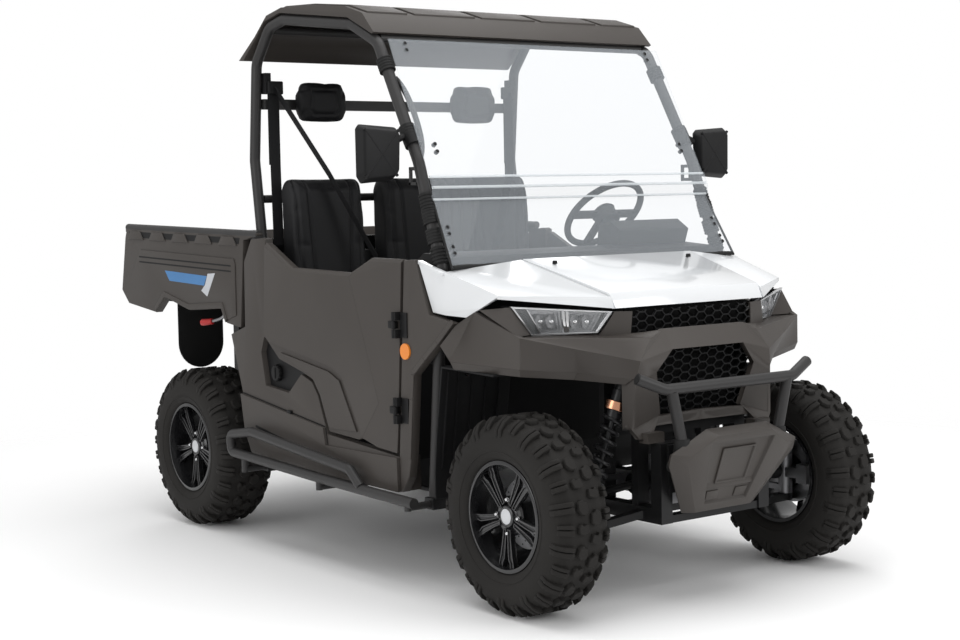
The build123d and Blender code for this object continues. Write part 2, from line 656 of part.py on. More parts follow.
def honeycomb(plane, edge):
    """A flat grille with as many whole cells as fit between its edges."""
    low, high = edge[0][1], edge[-1][1]
    column_step = 1.5 * cell_half_width + cell_wall
    row_step = 2 * cell_half_height + cell_wall
    rows = int((high - low - 2 * cell_wall) / row_step)
    columns = int(max(x for x, height in edge) / column_step)

    def half_width(height):
        for (x, below), (next_x, above) in zip(edge, edge[1:]):
            if height <= above:
                return x + (next_x - x) * (height - below) / (above - below)
        return edge[-1][0]

    with BuildSketch(plane) as face:
        Polygon(*edge, *[(-x, height) for x, height in reversed(edge)], align=None)
        for column in range(-columns, columns + 1):
            rows_here = rows - column % 2
            for row in range(rows_here):
                height = (low + high) / 2 + (row - (rows_here - 1) / 2) * row_step
                room = min(half_width(height + cell_half_height), half_width(height - cell_half_height))
                if abs(column) * column_step + cell_half_width + cell_wall > room:
                    continue
                with Locations((column * column_step, height)):
                    Polygon((-cell_half_width, 0), (-cell_half_width / 2, -cell_half_height),
                            (cell_half_width / 2, -cell_half_height), (cell_half_width, 0),
                            (cell_half_width / 2, cell_half_height), (-cell_half_width / 2, cell_half_height),
                            align=None, mode=Mode.SUBTRACT)
    extrude(face.sketch, amount=-grille_wall)


with BuildPart() as grilles:
    honeycomb(Plane(origin=at(0, upper_grille_station, 0), x_dir=(1, 0, 0), z_dir=(0, -1, 0)), upper_edge)
    lean = radians(lower_grille_lean)
    honeycomb(Plane(origin=at(0, *lower_grille_foot), x_dir=(1, 0, 0), z_dir=(0, -cos(lean), -sin(lean))),
              lower_edge)
finish(grilles, "grilles")

lamp_corners = [(351, -118, 983), (645, 50, 1007), (567, 38, 905.5), (392, -88, 912.5)]
lamp_depth = 60.0
reflector_depth = 34.0
reflector_table = [  # limits as shares of the lamp's width, from its inner end
    (0.07, 0.44), (0.52, 0.84)]


def lamp_point(along, down):
    """A place on the lamp's face by its shares of the width and of the height."""
    first, second, third, fourth = [Vector(*corner) for corner in lamp_corners]
    upper = first + (second - first) * along
    lower = fourth + (third - fourth) * along
    return tuple(upper + (lower - upper) * down + Vector(0, -1, 0))


with BuildPart() as headlamps:
    panel(lamp_corners, (0, lamp_depth, 0))
    for near_end, far_end in reflector_table:
        panel([lamp_point(near_end, 0.16), lamp_point(far_end, 0.16), lamp_point(far_end, 0.86),
               lamp_point(near_end, 0.86)], (0, reflector_depth, 0), Mode.SUBTRACT)
    mirror(about=Plane.YZ)
finish(headlamps, "headlamps")

cover_wall = 12.0
with BuildPart() as fender_covers:
    panel([(352, -127, 993), (664, 88, 1030), (664, 88, 1042), (354, -112, 1030)], (0, 14, 0))
    panel([(354, -112, 1030), (664, 88, 1042), (694, 345, 1114), (410, 288, 1146)], (0, 0, -cover_wall))
    panel([(694, 345, 1114), (712, 345, 1113), (715, 473, 1151), (694, 473, 1151)], (0, 0, -cover_wall))
    rod([(hood_pin_end, *hood_axis), (358, *hood_axis)], hood_pin_radius)
    panel([(664, 88, 1042), (715, 473, 1151), (709, 398, 976), (684, 168, 997)], (-cover_wall, 0, 0))
    panel([(684, 168, 997), (709, 398, 976), (707, 330, 969), (700, 224, 966)], (-cover_wall, 0, 0))
    mirror(about=Plane.YZ)
finish(fender_covers, "fender_covers")

hood_profile = [(-127, 993), (-99, 1044), (288, 1148), (288, 1134), (-92, 1031), (-113, 991)]
with BuildPart() as hood_panel:
    slab(hood_profile, -403, 403)
    with BuildSketch(Plane.XY.offset(900)) as plan:
        with BuildLine():
            Polyline(*[(x, station + front_axle_y) for x, station in
                       [(-345, -140), (345, -140), (403, 300), (-403, 300)]], close=True)
        make_face()
    extrude(plan.sketch, amount=400, mode=Mode.INTERSECT)
    for side in (-1, 1):
        rod([(side * (hood_pin_end - 2), *hood_axis), (side * 360, *hood_axis)], hood_pin_radius + pin_gap,
            mode=Mode.SUBTRACT)
finish(hood_panel, "hood_panel")

bar_radius = 19.0
with BuildPart() as bumper_bar:
    rod([(-400, -285, 775), (-299, -310, 734), (299, -310, 734), (400, -285, 775)], bar_radius, 60)
    for side in (-1, 1):
        rod([(side * 271, -310, 725), (side * 225, -310, 545), (side * 225, -310, 470),
             (side * 225, frame_front - 12 - seat_gap, 470)], bar_radius, 36)
finish(bumper_bar, "bumper_bar")

with BuildPart() as bumper_cover:
    panel([(0, -380, 573), (125, -380, 573), (228, -371, 512), (0, -378, 512)], (0, 30, 0))
    panel([(0, -378, 512), (228, -371, 512), (228, -371, 476), (0, -376, 476)], (0, 30, 0))
    panel([(0, -376, 476), (228, -371, 476), (130, -244, 304), (0, -244, 304)], (0, 9, 0))
    panel([(0, -380, 573), (125, -380, 573), (141, -332, 594), (0, -332, 594)], (0, 0, -14))
    panel([(228, -371, 512), (228, -371, 476), (294, -320, 480), (294, -336, 522)], (0, 8, 0))
    panel([(125, -380, 573), (228, -371, 512), (294, -336, 522), (141, -334, 594)], (0, 3, -5))
    panel([(228, -371, 476), (294, -320, 480), (170, -228, 304), (130, -244, 304)], (-6, 7, 0))
    mirror(about=Plane.YZ)
    block(-165, 165, -308, frame_front - 12 - seat_gap, 385, 405)
finish(bumper_cover, "bumper_cover")

with BuildPart() as side_markers:
    rod([(body_x + seat_gap, 540, 834), (body_x + 7, 540, 834)], 28)
    mirror(about=Plane.YZ)
finish(side_markers, "side_markers")

# ---------------------------------------------------------------- roll cage, roof and windscreen
cage_path = [  # x, station, height of the tube's middle line
    (cage_foot_x, 470, rail_top + 2.2), (cage_foot_x, 402, 1120), (cage_x + 6, 540, 1490), (cage_x, 783, 1919),
    (cage_x, 949, 1997), (cage_x, 1423, 2054), (cage_x, 1530, 2032), (cage_x, 1639, 1900),
    (cage_x, 1672, 1518), (cage_x, 1590, 900), (cage_x, 1590, rail_top + seat_gap)]
for corner, side in [("right", -1), ("left", 1)]:
    with BuildPart() as cage:
        rod([(side * x, station, height) for x, station, height in cage_path], cage_radius, 80)
    finish(cage, "cage_" + corner)

bar_end = cage_x - cage_radius - seat_gap
cross_bars = [  # station, height, half side of a square bar, or radius of a round one when round
    (808, 1936, 16, True), (1545, 2022, 16, True), (1645, 1740, 20, False), (1652, 1365, 16, True)]
with BuildPart() as cage_crossbars:
    for station, height, half, is_round in cross_bars:
        if is_round:
            rod([(-bar_end, station, height), (bar_end, station, height)], half)
        else:
            block(-bar_end, bar_end, station - half, station + half, height - half, height + half)
finish(cage_crossbars, "cage_crossbars")

roof_half = 672.0
roof_wall = 12.0
roof_top = [(779, 1954), (851, 2037), (961, 2069), (1200, 2095), (1409, 2105), (1520, 2084), (1612, 2010),
            (1742, 1916)]
roof_rim = [(1706, 1914), (1592, 2004), (1543, 2053), (1423, 2078), (1096, 2038), (949, 2020), (838, 1970),
            (792, 1949)]
roof_hollow = [(800, 1940), (860, 2022), (965, 2055), (1202, 2082), (1408, 2091), (1512, 2072),
               (1600, 2001), (1696, 1916)]
with BuildPart() as roof_panel:
    slab(roof_top + roof_rim, -roof_half, roof_half)
    slab(roof_hollow + [(1600, 1800), (900, 1800)], -cage_x + 24, cage_x - 24, Mode.SUBTRACT)
finish(roof_panel, "roof_panel")

glass_wall = 5.0


def across(half_foot, foot, half_head, head, thickness):
    """A sloping pane: half width and (station, height) at its foot and at its head."""
    rise = Vector(0, head[0] - foot[0], head[1] - foot[1])
    normal = rise.normalized().cross(Vector(1, 0, 0)) * -1
    step = normal * thickness
    panel([(-half_foot, *foot), (half_foot, *foot), (half_head, *head), (-half_head, *head)],
          (step.X, step.Y, step.Z))


with BuildPart() as windscreen_lower:
    across(673, (333, 1126), 652, (463, 1352), glass_wall)
finish(windscreen_lower, "windscreen_lower")

with BuildPart() as windscreen_upper:
    across(656, (481, 1435), 646, (728, 1925), glass_wall)
    across(656, (466, 1356), 658, (462, 1400), 14)
    across(658, (462, 1400), 656, (481, 1437), 10)
finish(windscreen_upper, "windscreen_upper")

pillar_foot = Vector(cage_foot_x, 402, 1120)
pillar_knee = Vector(cage_x + 6, 540, 1490)
pillar_head = Vector(cage_x, 783, 1919)
sleeve_radius = cage_radius + 7
with BuildPart() as pillar_clamps:
    for start, end, share in [(pillar_foot, pillar_knee, 0.30), (pillar_foot, pillar_knee, 0.48),
                              (pillar_knee, pillar_head, 0.22), (pillar_knee, pillar_head, 0.80)]:
        run = (end - start).normalized()
        middle = start + (end - start) * share
        low = middle - run * 24
        high = middle + run * 24
        rod([tuple(low), tuple(high)], sleeve_radius)
        rod([tuple(low - run * 2), tuple(high + run * 2)], cage_radius + seat_gap, mode=Mode.SUBTRACT)
    mirror(about=Plane.YZ)
finish(pillar_clamps, "pillar_clamps")

with BuildPart() as mirrors:
    block(702, 893, 548, 590, 1411, 1626)
    block(cage_x + 33.2, 703, 583, 603, 1572, 1588)
    mirror(about=Plane.YZ)
finish(mirrors, "mirrors")

# ---------------------------------------------------------------- seats
bench_table = [(-685.0, -235.0), (-185.0, 685.0)]     # low and high x of each seat
cushion_low = seat_base + seat_gap
cushion_profile = [(1060, cushion_low + 20), (1050, 800), (1075, 835), (1400, 822), (1440, 815),
                   (1440, cushion_low), (1085, cushion_low)]
back_profile = [(1448, 800), (1488, 1440), (1512, 1473), (1560, 1473), (1590, 1440), (1576.5, 1200),
                (1562, 800)]
with BuildPart() as seat_cushions:
    for low, high in bench_table:
        slab(cushion_profile, max(low, -tub_half_width + 5), min(high, tub_half_width - 5))
finish(seat_cushions, "seat_cushions")

with BuildPart() as seat_backs:
    for low, high in bench_table:
        slab(back_profile, max(low, -tub_half_width), min(high, tub_half_width))
finish(seat_backs, "seat_backs")

headrest_x = 384.0
headrest_size = (240.0, 170.0)
headrest_station = 1645 - 20 - seat_gap
with BuildPart() as headrests:
    for side in (-1, 1):
        with BuildSketch(Plane(origin=at(side * headrest_x, headrest_station, 1751), x_dir=(1, 0, 0),
                               z_dir=(0, -1, 0))):
            RectangleRounded(*headrest_size, 45)
        extrude(amount=62)
finish(headrests, "headrests")

belt_wall = 3.0
with BuildPart() as seat_belts:
    for side in (-1, 1):
        x_low, x_high = sorted((side * 604, side * bar_end))
        block(x_low, x_high, 1610, 1650, 1780, 1862)
        x_low, x_high = sorted((side * 570, side * 618))
        block(x_low, x_high, 1614, 1614 + belt_wall, 1500, 1800)
finish(seat_belts, "seat_belts")

# ---------------------------------------------------------------- side steps
step_x = 780.0
step_radius = 19.0
with BuildPart() as side_steps:
    rod([(step_x, 433, 320), (step_x, 1035, 335), (step_x, 1690, 360), (step_x, 1700, 430),
         (step_x, 1528, 456), (step_x, 830, 392), (step_x, 760, 336)], step_radius, 25)
    for station, height in [(470, 321), (1040, 335), (1590, 356)]:
        rod([(outrigger_x + seat_gap, station, 302), (step_x, station, 302)], 13)
        rod([(step_x, station, 290), (step_x, station, height)], 13)
    mirror(about=Plane.YZ)
finish(side_steps, "side_steps")

# ---------------------------------------------------------------- cargo bed
bed_front = 1700.0
bed_back = 2696.0
bed_floor_top = bed_floor_bottom + 20
bed_inner_x = bed_x - bed_wall
bed_side_outline = [(2701, 1225), (1663, 1203), (1699, 853), (1811, 866), (1845, 923), (2122, 904),
                    (2340, 950), (2431, 880), (2696, 909), (2760, 967), (2712, 1200)]
bed_rail_outline = [(2706, 1225), (2706, 1252), (1559, 1233), (1559, 1222), (1663, 1203)]
with BuildPart() as bed_tub:
    block(-bed_inner_x, bed_inner_x, bed_front, bed_back, bed_floor_bottom, bed_floor_top)
    block(-bed_inner_x, bed_inner_x, bed_front, bed_front + 30, bed_floor_top, 1205)
    for side in (-1, 1):
        x_low, x_high = sorted((side * (bed_inner_x - 25), side * bed_inner_x))
        block(x_low, x_high, bed_front, bed_back, bed_floor_top, 1203)
        ear_low, ear_high = sorted((side * (rail_x + 30), side * (rail_x + 54)))
        block(ear_low, ear_high, bed_axis[0] - 24, bed_axis[0] + 24, bed_axis[1] - 24, bed_floor_bottom)
        rod([(ear_low - 1, *bed_axis), (ear_high + 1, *bed_axis)], bed_pin_radius + pin_gap,
            mode=Mode.SUBTRACT)
        pin_low, pin_high = sorted((side * 560, side * 640))
        rod([(pin_low, *tailgate_axis), (pin_high, *tailgate_axis)], tailgate_pin_radius)
        block(*sorted((side * 560, side * 580)), bed_back - 5, tailgate_axis[0] + 8, tailgate_axis[1] - 12,
              tailgate_axis[1] + 8)
finish(bed_tub, "bed_tub")

with BuildPart() as bed_side_panels:
    slab(bed_side_outline, bed_inner_x, bed_x)
    slab(bed_rail_outline, bed_inner_x, bed_x)
    mirror(about=Plane.YZ)
finish(bed_side_panels, "bed_side_panels")

with BuildPart() as tail_lamps:
    block(bed_inner_x - 50, bed_inner_x - seat_gap, bed_back + 2, 2716, 1000, 1180)
    mirror(about=Plane.YZ)
finish(tail_lamps, "tail_lamps")

tailgate_half = 630.0
with BuildPart() as tailgate:
    block(-tailgate_half, tailgate_half, bed_back + 6, bed_back + 34, bed_floor_bottom + 12, 1215)
    for side in (-1, 1):
        ring_low, ring_high = sorted((side * 590, side * 625))
        rod([(ring_low, *tailgate_axis), (ring_high, *tailgate_axis)], tailgate_pin_radius + 7)
        block(ring_low, ring_high, tailgate_axis[0] - 10, tailgate_axis[0] + 10, tailgate_axis[1],
              bed_floor_bottom + 14)
        rod([(ring_low - 1, *tailgate_axis), (ring_high + 1, *tailgate_axis)],
            tailgate_pin_radius + pin_gap, mode=Mode.SUBTRACT)
finish(tailgate, "tailgate")

flap_station = 2330.0
with BuildPart() as mud_flaps:
    block(560 - 112, 560 + 112, flap_station, flap_station + 8, 690, bed_floor_bottom)
    rod([(560, flap_station, 690), (560, flap_station + 8, 690)], 60)
    mirror(about=Plane.YZ)
finish(mud_flaps, "mud_flaps")
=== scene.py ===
import json
from math import radians, sin, cos, pi

import bmesh
import bpy
from mathutils import Matrix, Vector


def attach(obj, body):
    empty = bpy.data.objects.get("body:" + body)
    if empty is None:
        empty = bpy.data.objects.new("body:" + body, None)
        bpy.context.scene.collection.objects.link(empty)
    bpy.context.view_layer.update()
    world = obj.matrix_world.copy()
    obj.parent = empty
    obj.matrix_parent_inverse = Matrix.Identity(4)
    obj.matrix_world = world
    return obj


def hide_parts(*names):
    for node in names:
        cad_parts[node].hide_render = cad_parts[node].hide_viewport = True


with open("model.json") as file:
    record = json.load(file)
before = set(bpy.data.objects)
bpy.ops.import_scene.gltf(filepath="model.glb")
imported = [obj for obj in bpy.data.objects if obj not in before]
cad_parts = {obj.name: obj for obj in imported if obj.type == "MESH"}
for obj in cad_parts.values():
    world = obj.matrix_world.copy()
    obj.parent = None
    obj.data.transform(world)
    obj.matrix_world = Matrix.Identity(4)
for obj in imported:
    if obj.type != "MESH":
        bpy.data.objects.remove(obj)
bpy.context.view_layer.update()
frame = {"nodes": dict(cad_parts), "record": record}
nodes = frame["nodes"]
bodyOf = {node: body for body, names in frame["record"]["behaviour"]["bodies"].items() for node in names}
print("frame loaded", len(nodes), "nodes")

frontAxleY = -1.195          # station 0, in the frame's metres


def place(x, station, height):
    # stations and heights in millimetres, as the vehicle is measured
    return Vector((x / 1000, station / 1000 + frontAxleY, height / 1000))


# camera, lights and floor
view = {"at": (-4.1483, -5.5626, 1.4023), "yaw": 37.37, "pitch": 4.43, "roll": -0.98, "lens": 64.87}
cameraData = bpy.data.cameras.new("camera")
cameraData.lens = view["lens"]
cameraData.sensor_width = 36
camera = bpy.data.objects.new("camera", cameraData)
bpy.context.scene.collection.objects.link(camera)
camera.matrix_world = (Matrix.Translation(view["at"]) @ Matrix.Rotation(-radians(view["yaw"]), 4, "Z")
    @ Matrix.Rotation(radians(90 - view["pitch"]), 4, "X") @ Matrix.Rotation(radians(view["roll"]), 4, "Z"))
bpy.context.scene.camera = camera
bpy.context.scene.view_settings.view_transform = "Standard"

lamps = {
    "overhead": {"at": (0, -0.5, 5.2), "aim": (0, 0, 0.6), "size": 5.5, "power": 190},
    "front": {"at": (2.5, -6.5, 3.4), "aim": (0, -0.8, 0.8), "size": 3.5, "power": 120},
    "side": {"at": (-6.5, -0.5, 2.6), "aim": (0, 0, 0.7), "size": 3.5, "power": 90},
    "back": {"at": (3.5, 5.5, 3.2), "aim": (0, 0.5, 1.0), "size": 3.0, "power": 70},
}
for name, lamp in lamps.items():
    lampData = bpy.data.lights.new(name, "AREA")
    lampData.energy = lamp["power"]
    lampData.size = lamp["size"]
    light = bpy.data.objects.new(name, lampData)
    light.location = lamp["at"]
    light.rotation_euler = (Vector(lamp["aim"]) - Vector(lamp["at"])).to_track_quat("-Z", "Y").to_euler()
    bpy.context.scene.collection.objects.link(light)

surround = {"ambient": 0.62, "seen": 1.0}
world = bpy.data.worlds.new("surround")
bpy.context.scene.world = world
world.use_nodes = True
tree = world.node_tree
background = tree.nodes["Background"]
background.inputs["Color"].default_value = (1, 1, 1, 1)
path = tree.nodes.new("ShaderNodeLightPath")
strength = tree.nodes.new("ShaderNodeMapRange")
strength.inputs["To Min"].default_value = surround["ambient"]
strength.inputs["To Max"].default_value = surround["seen"]
tree.links.new(path.outputs["Is Camera Ray"], strength.inputs["Value"])
tree.links.new(strength.outputs["Result"], background.inputs["Strength"])


def newObject(name, bm, smoothAngle=32):
    mesh = bpy.data.meshes.new(name)
    bm.to_mesh(mesh)
    bm.free()
    mesh.polygons.foreach_set("use_smooth", [True] * len(mesh.polygons))
    mesh.set_sharp_from_angle(angle=radians(smoothAngle))
    piece = bpy.data.objects.new(name, mesh)
    bpy.context.scene.collection.objects.link(piece)
    return piece


floorSize = 8
bm = bmesh.new()
bmesh.ops.create_grid(bm, x_segments=1, y_segments=1, size=floorSize)
floor = newObject("floor", bm)
floorPaint = bpy.data.materials.new("floorPaint")
floorPaint.use_nodes = True
floorShader = floorPaint.node_tree.nodes["Principled BSDF"]
floorShader.inputs["Base Color"].default_value = (0.96, 0.96, 0.96, 1)
floorShader.inputs["Roughness"].default_value = 0.9
floorFade = {"from": 2.2, "to": 4.6}        # metres from the middle; further out only the surround shows
floorTree = floorPaint.node_tree
floorPlace = floorTree.nodes.new("ShaderNodeTexCoord")
floorReach = floorTree.nodes.new("ShaderNodeVectorMath")
floorReach.operation = "LENGTH"
floorVeil = floorTree.nodes.new("ShaderNodeMapRange")
floorVeil.interpolation_type = "SMOOTHSTEP"
floorVeil.inputs["From Min"].default_value = floorFade["from"]
floorVeil.inputs["From Max"].default_value = floorFade["to"]
floorVeil.inputs["To Min"].default_value = 1.0
floorVeil.inputs["To Max"].default_value = 0.0
floorTree.links.new(floorPlace.outputs["Object"], floorReach.inputs[0])
floorTree.links.new(floorReach.outputs["Value"], floorVeil.inputs["Value"])
floorTree.links.new(floorVeil.outputs["Result"], floorShader.inputs["Alpha"])
floor.data.materials.append(floorPaint)
print("camera, lights and floor set")

# shader groups
def newGroup(name, inputs, outputs):
    group = bpy.data.node_groups.new(name, "ShaderNodeTree")
    for socket, kind, value in inputs:
        made = group.interface.new_socket(name=socket, in_out="INPUT", socket_type=kind)
        made.default_value = value
    for socket, kind in outputs:
        group.interface.new_socket(name=socket, in_out="OUTPUT", socket_type=kind)
    start = group.nodes.new("NodeGroupInput")
    end = group.nodes.new("NodeGroupOutput")
    return group, start, end


def addNode(tree, kind, **values):
    node = tree.nodes.new(kind)
    for key, value in values.items():
        if hasattr(node, key):
            setattr(node, key, value)
        else:
            node.inputs[key.replace("_", " ")].default_value = value
    return node


# mouldedSkin: fine grain in the height, slow drift in colour and roughness
mouldedSkin, start, end = newGroup("mouldedSkin",
    [("Colour", "NodeSocketColor", (0.1, 0.1, 0.1, 1)), ("Drift", "NodeSocketFloat", 0.1),
     ("Roughness", "NodeSocketFloat", 0.5), ("Roughness Drift", "NodeSocketFloat", 0.08),
     ("Grain Scale", "NodeSocketFloat", 600.0), ("Grain Height", "NodeSocketFloat", 0.2),
     ("Patch Scale", "NodeSocketFloat", 3.0)],
    [("Colour", "NodeSocketColor"), ("Roughness", "NodeSocketFloat"), ("Normal", "NodeSocketVector")])
coords = addNode(mouldedSkin, "ShaderNodeTexCoord")
grain = addNode(mouldedSkin, "ShaderNodeTexNoise", Detail=2.0)
patch = addNode(mouldedSkin, "ShaderNodeTexNoise", Detail=3.0)
shade = addNode(mouldedSkin, "ShaderNodeMapRange")
shade.inputs["From Min"].default_value = 0.3
shade.inputs["From Max"].default_value = 0.7
darker = addNode(mouldedSkin, "ShaderNodeMath", operation="SUBTRACT")
darker.inputs[0].default_value = 1.0
tint = addNode(mouldedSkin, "ShaderNodeVectorMath", operation="SCALE")
swing = addNode(mouldedSkin, "ShaderNodeMath", operation="MULTIPLY_ADD")
bump = addNode(mouldedSkin, "ShaderNodeBump", Distance=0.0006)
for source, out, target, into in ((coords, "Object", grain, "Vector"), (coords, "Object", patch, "Vector"),
        (start, "Grain Scale", grain, "Scale"), (start, "Patch Scale", patch, "Scale"),
        (patch, "Fac", shade, "Value"), (start, "Drift", shade, "To Max"), (shade, "Result", darker, 1),
        (start, "Colour", tint, 0), (darker, "Value", tint, "Scale"), (tint, "Vector", end, "Colour"),
        (shade, "Result", swing, 0), (start, "Roughness Drift", swing, 1), (start, "Roughness", swing, 2),
        (swing, "Value", end, "Roughness"), (grain, "Fac", bump, "Height"),
        (start, "Grain Height", bump, "Strength"), (bump, "Normal", end, "Normal")):
    mouldedSkin.links.new(source.outputs[out], target.inputs[into])

surfaces = {  # colour, roughness, grain height, grain scale, drift, slot, then metal, coat or specular
    "darkPlastic": ((0.056, 0.049, 0.044), 0.5, 0.3, 700, 0.1, "dark_plastic", {"specular": 0.36}),
    "blackPlastic": ((0.011, 0.011, 0.0115), 0.52, 0.22, 600, 0.15, "black_plastic", {"specular": 0.2}),
    "glossWhite": ((0.8, 0.815, 0.83), 0.16, 0.012, 90, 0.015, "gloss_white", {"coat": 0.7}),
    "framePaint": ((0.011, 0.011, 0.0115), 0.36, 0.1, 300, 0.1, None, {"specular": 0.25}),
    "cagePaint": ((0.031, 0.03, 0.03), 0.42, 0.18, 500, 0.08, "cage_grey", {"specular": 0.34}),
    "castMetal": ((0.3, 0.3, 0.31), 0.48, 0.35, 180, 0.2, None, {"metal": 1.0}),
    "plainSteel": ((0.34, 0.34, 0.35), 0.34, 0.08, 220, 0.2, "steel", {"metal": 1.0}),
    "springPaint": ((0.016, 0.016, 0.017), 0.3, 0.05, 300, 0.1, "spring_black", {"specular": 0.3}),
    "tyreRubber": ((0.019, 0.0175, 0.016), 0.72, 0.35, 420, 0.25, "tyre_rubber", {"specular": 0.22}),
    "wheelBlack": ((0.01, 0.01, 0.011), 0.26, 0.04, 300, 0.1, "wheel_black", {"coat": 0.4}),
    "seatVinyl": ((0.011, 0.011, 0.012), 0.55, 0.45, 260, 0.12, "seat_vinyl", {"specular": 0.26}),
    "softRubber": ((0.016, 0.016, 0.016), 0.6, 0.12, 300, 0.1, "rubber_black", {"specular": 0.22}),
    "webbing": ((0.016, 0.016, 0.017), 0.75, 0.5, 900, 0.1, "webbing", {"specular": 0.2}),
    "amberLens": ((0.85, 0.25, 0.02), 0.22, 0.3, 250, 0.1, None, {"coat": 0.5}),
    "chromeBright": ((0.75, 0.75, 0.76), 0.12, 0.02, 100, 0.05, "steel", {"metal": 1.0}),
    "lampSilver": ((0.26, 0.26, 0.27), 0.2, 0.04, 200, 0.06, "steel", {"metal": 0.85}),
    "copperBright": ((0.72, 0.36, 0.22), 0.25, 0.05, 200, 0.1, "steel", {"metal": 1.0}),
    "paleCap": ((0.62, 0.63, 0.65), 0.3, 0.03, 300, 0.05, "steel", {}),
    "blueStripe": ((0.055, 0.22, 0.5), 0.28, 0.02, 300, 0.25, None, {}),
    "silverStripe": ((0.55, 0.57, 0.6), 0.3, 0.02, 300, 0.1, None, {}),
    # near-black with almost no specular: painted shade behind the grilles
    "shadeBlack": ((0.006, 0.006, 0.006), 0.7, 0.1, 300, 0.1, "black_plastic", {"specular": 0.05}),
    "redGrip": ((0.45, 0.02, 0.02), 0.45, 0.1, 300, 0.1, "rubber_black", {}),
}
materials, slots = {}, {"lampCover": "lamp_lens", "edgeClear": "clear"}
for name, (colour, rough, grainHeight, grainScale, drift, slot, extra) in surfaces.items():
    slots[name] = slot
    material = bpy.data.materials.new(name)
    material.use_nodes = True
    tree = material.node_tree
    shader = tree.nodes["Principled BSDF"]
    shader.inputs["Metallic"].default_value = extra.get("metal", 0.0)
    shader.inputs["Coat Weight"].default_value = extra.get("coat", 0.0)
    shader.inputs["Coat Roughness"].default_value = 0.08
    shader.inputs["Specular IOR Level"].default_value = extra.get("specular", 0.5)
    skin = tree.nodes.new("ShaderNodeGroup")
    skin.node_tree = mouldedSkin
    for socket, value in (("Colour", (*colour, 1)), ("Drift", drift), ("Roughness", rough),
            ("Grain Scale", grainScale), ("Grain Height", grainHeight)):
        skin.inputs[socket].default_value = value
    for out, into in (("Colour", "Base Color"), ("Roughness", "Roughness"), ("Normal", "Normal")):
        tree.links.new(skin.outputs[out], shader.inputs[into])
    materials[name] = material

clearSheets = {
    "clearSheet": {"colour": (0.70, 0.75, 0.80), "rough": 0.03, "alpha": 0.14},
    "lampCover": {"colour": (0.80, 0.83, 0.85), "rough": 0.03, "alpha": 0.10},
    "edgeClear": {"colour": (0.86, 0.90, 0.92), "rough": 0.08, "alpha": 0.55},
    "redCover": {"colour": (0.62, 0.02, 0.02), "rough": 0.10, "alpha": 0.80},
}
for name, sheet in clearSheets.items():
    material = bpy.data.materials.new(name)
    material.use_nodes = True
    shader = material.node_tree.nodes["Principled BSDF"]
    for socket, value in (("Base Color", (*sheet["colour"], 1)), ("Roughness", sheet["rough"]),
            ("Alpha", sheet["alpha"])):
        shader.inputs[socket].default_value = value
    materials[name] = material
print("materials made")


def finishPiece(piece, material, body="chassis", slot=None, replaced=()):
    piece.data.materials.append(materials[material])
    slot = slot or slots[material]
    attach(piece, body)
    if replaced:
        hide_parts(*replaced)
    return piece


def addPiece(name, bm, material, body="chassis", angle=32, slot=None, replaced=()):
    return finishPiece(newObject(name, bm, angle), material, body, slot, replaced)


def onlyVerts(geom):
    return [item for item in geom if isinstance(item, bmesh.types.BMVert)]


def faceOut(bm):
    bmesh.ops.recalc_face_normals(bm, faces=bm.faces)


def weld(bm, distance):
    bmesh.ops.remove_doubles(bm, verts=bm.verts, dist=distance)


def addBlock(bm, low, high):
    low, high = Vector(low), Vector(high)
    made = bmesh.ops.create_cube(bm, size=1)["verts"]
    bmesh.ops.scale(bm, vec=high - low, verts=made)
    bmesh.ops.translate(bm, vec=(low + high) / 2, verts=made)
    return made


def addRod(bm, start, end, radius, segments=16, endRadius=None):
    start, end = Vector(start), Vector(end)
    run = end - start
    made = bmesh.ops.create_cone(bm, cap_ends=True, segments=segments, radius1=radius,
        radius2=radius if endRadius is None else endRadius, depth=run.length)["verts"]
    turn = run.to_track_quat("Z", "Y").to_matrix().to_4x4()
    bmesh.ops.transform(bm, matrix=Matrix.Translation((start + end) / 2) @ turn, verts=made)
    return made


def addPlate(bm, corners, step):
    # a flat plate from its outer corners and the step to its inner face
    outer = bm.faces.new([bm.verts.new(corner) for corner in corners])
    made = bmesh.ops.extrude_face_region(bm, geom=[outer])["geom"]
    inner = onlyVerts(made)
    bmesh.ops.translate(bm, vec=step, verts=inner)
    return list(outer.verts) + inner


def scaleFoot(bm, inner, factors):
    # a plate's inner face scaled about its middle
    middle = sum((vert.co for vert in inner), Vector()) / len(inner)
    bmesh.ops.scale(bm, vec=factors, space=Matrix.Translation(-middle), verts=inner)


def addPanel(bm, corners, step):
    # the same, from corners given as x, station and height
    return addPlate(bm, [place(*corner) for corner in corners], step)


def addTube(bm, points, radius, sides=3, smooth=True):
    # a round tube along a path
    curve = bpy.data.curves.new("path", "CURVE")
    curve.dimensions = "3D"
    spline = curve.splines.new("NURBS" if smooth else "POLY")
    spline.points.add(len(points) - 1)
    for target, point in zip(spline.points, points):
        target.co = (*point, 1)
    if smooth:
        spline.order_u = 3
        spline.use_endpoint_u = True
        spline.resolution_u = 4
    curve.bevel_depth = radius
    curve.bevel_resolution = sides
    curve.use_fill_caps = True
    holder = bpy.data.objects.new("path", curve)
    tube = bpy.data.meshes.new_from_object(holder)
    bm.from_mesh(tube)
    bpy.data.objects.remove(holder)
    bpy.data.curves.remove(curve)
    bpy.data.meshes.remove(tube)


def bothSides(bm):
    made = bmesh.ops.duplicate(bm, geom=allGeometry(bm))["geom"]
    bmesh.ops.scale(bm, vec=(-1, 1, 1), verts=onlyVerts(made))
    faceOut(bm)


def bevelSharp(bm, edges, width, segments, sharp):
    chosen = [edge for edge in edges if edge.is_manifold and edge.calc_face_angle(0) > radians(sharp)]
    bmesh.ops.bevel(bm, geom=chosen, offset=width, offset_type="OFFSET", segments=segments, profile=0.5,
        affect="EDGES", material=-1, clamp_overlap=True)


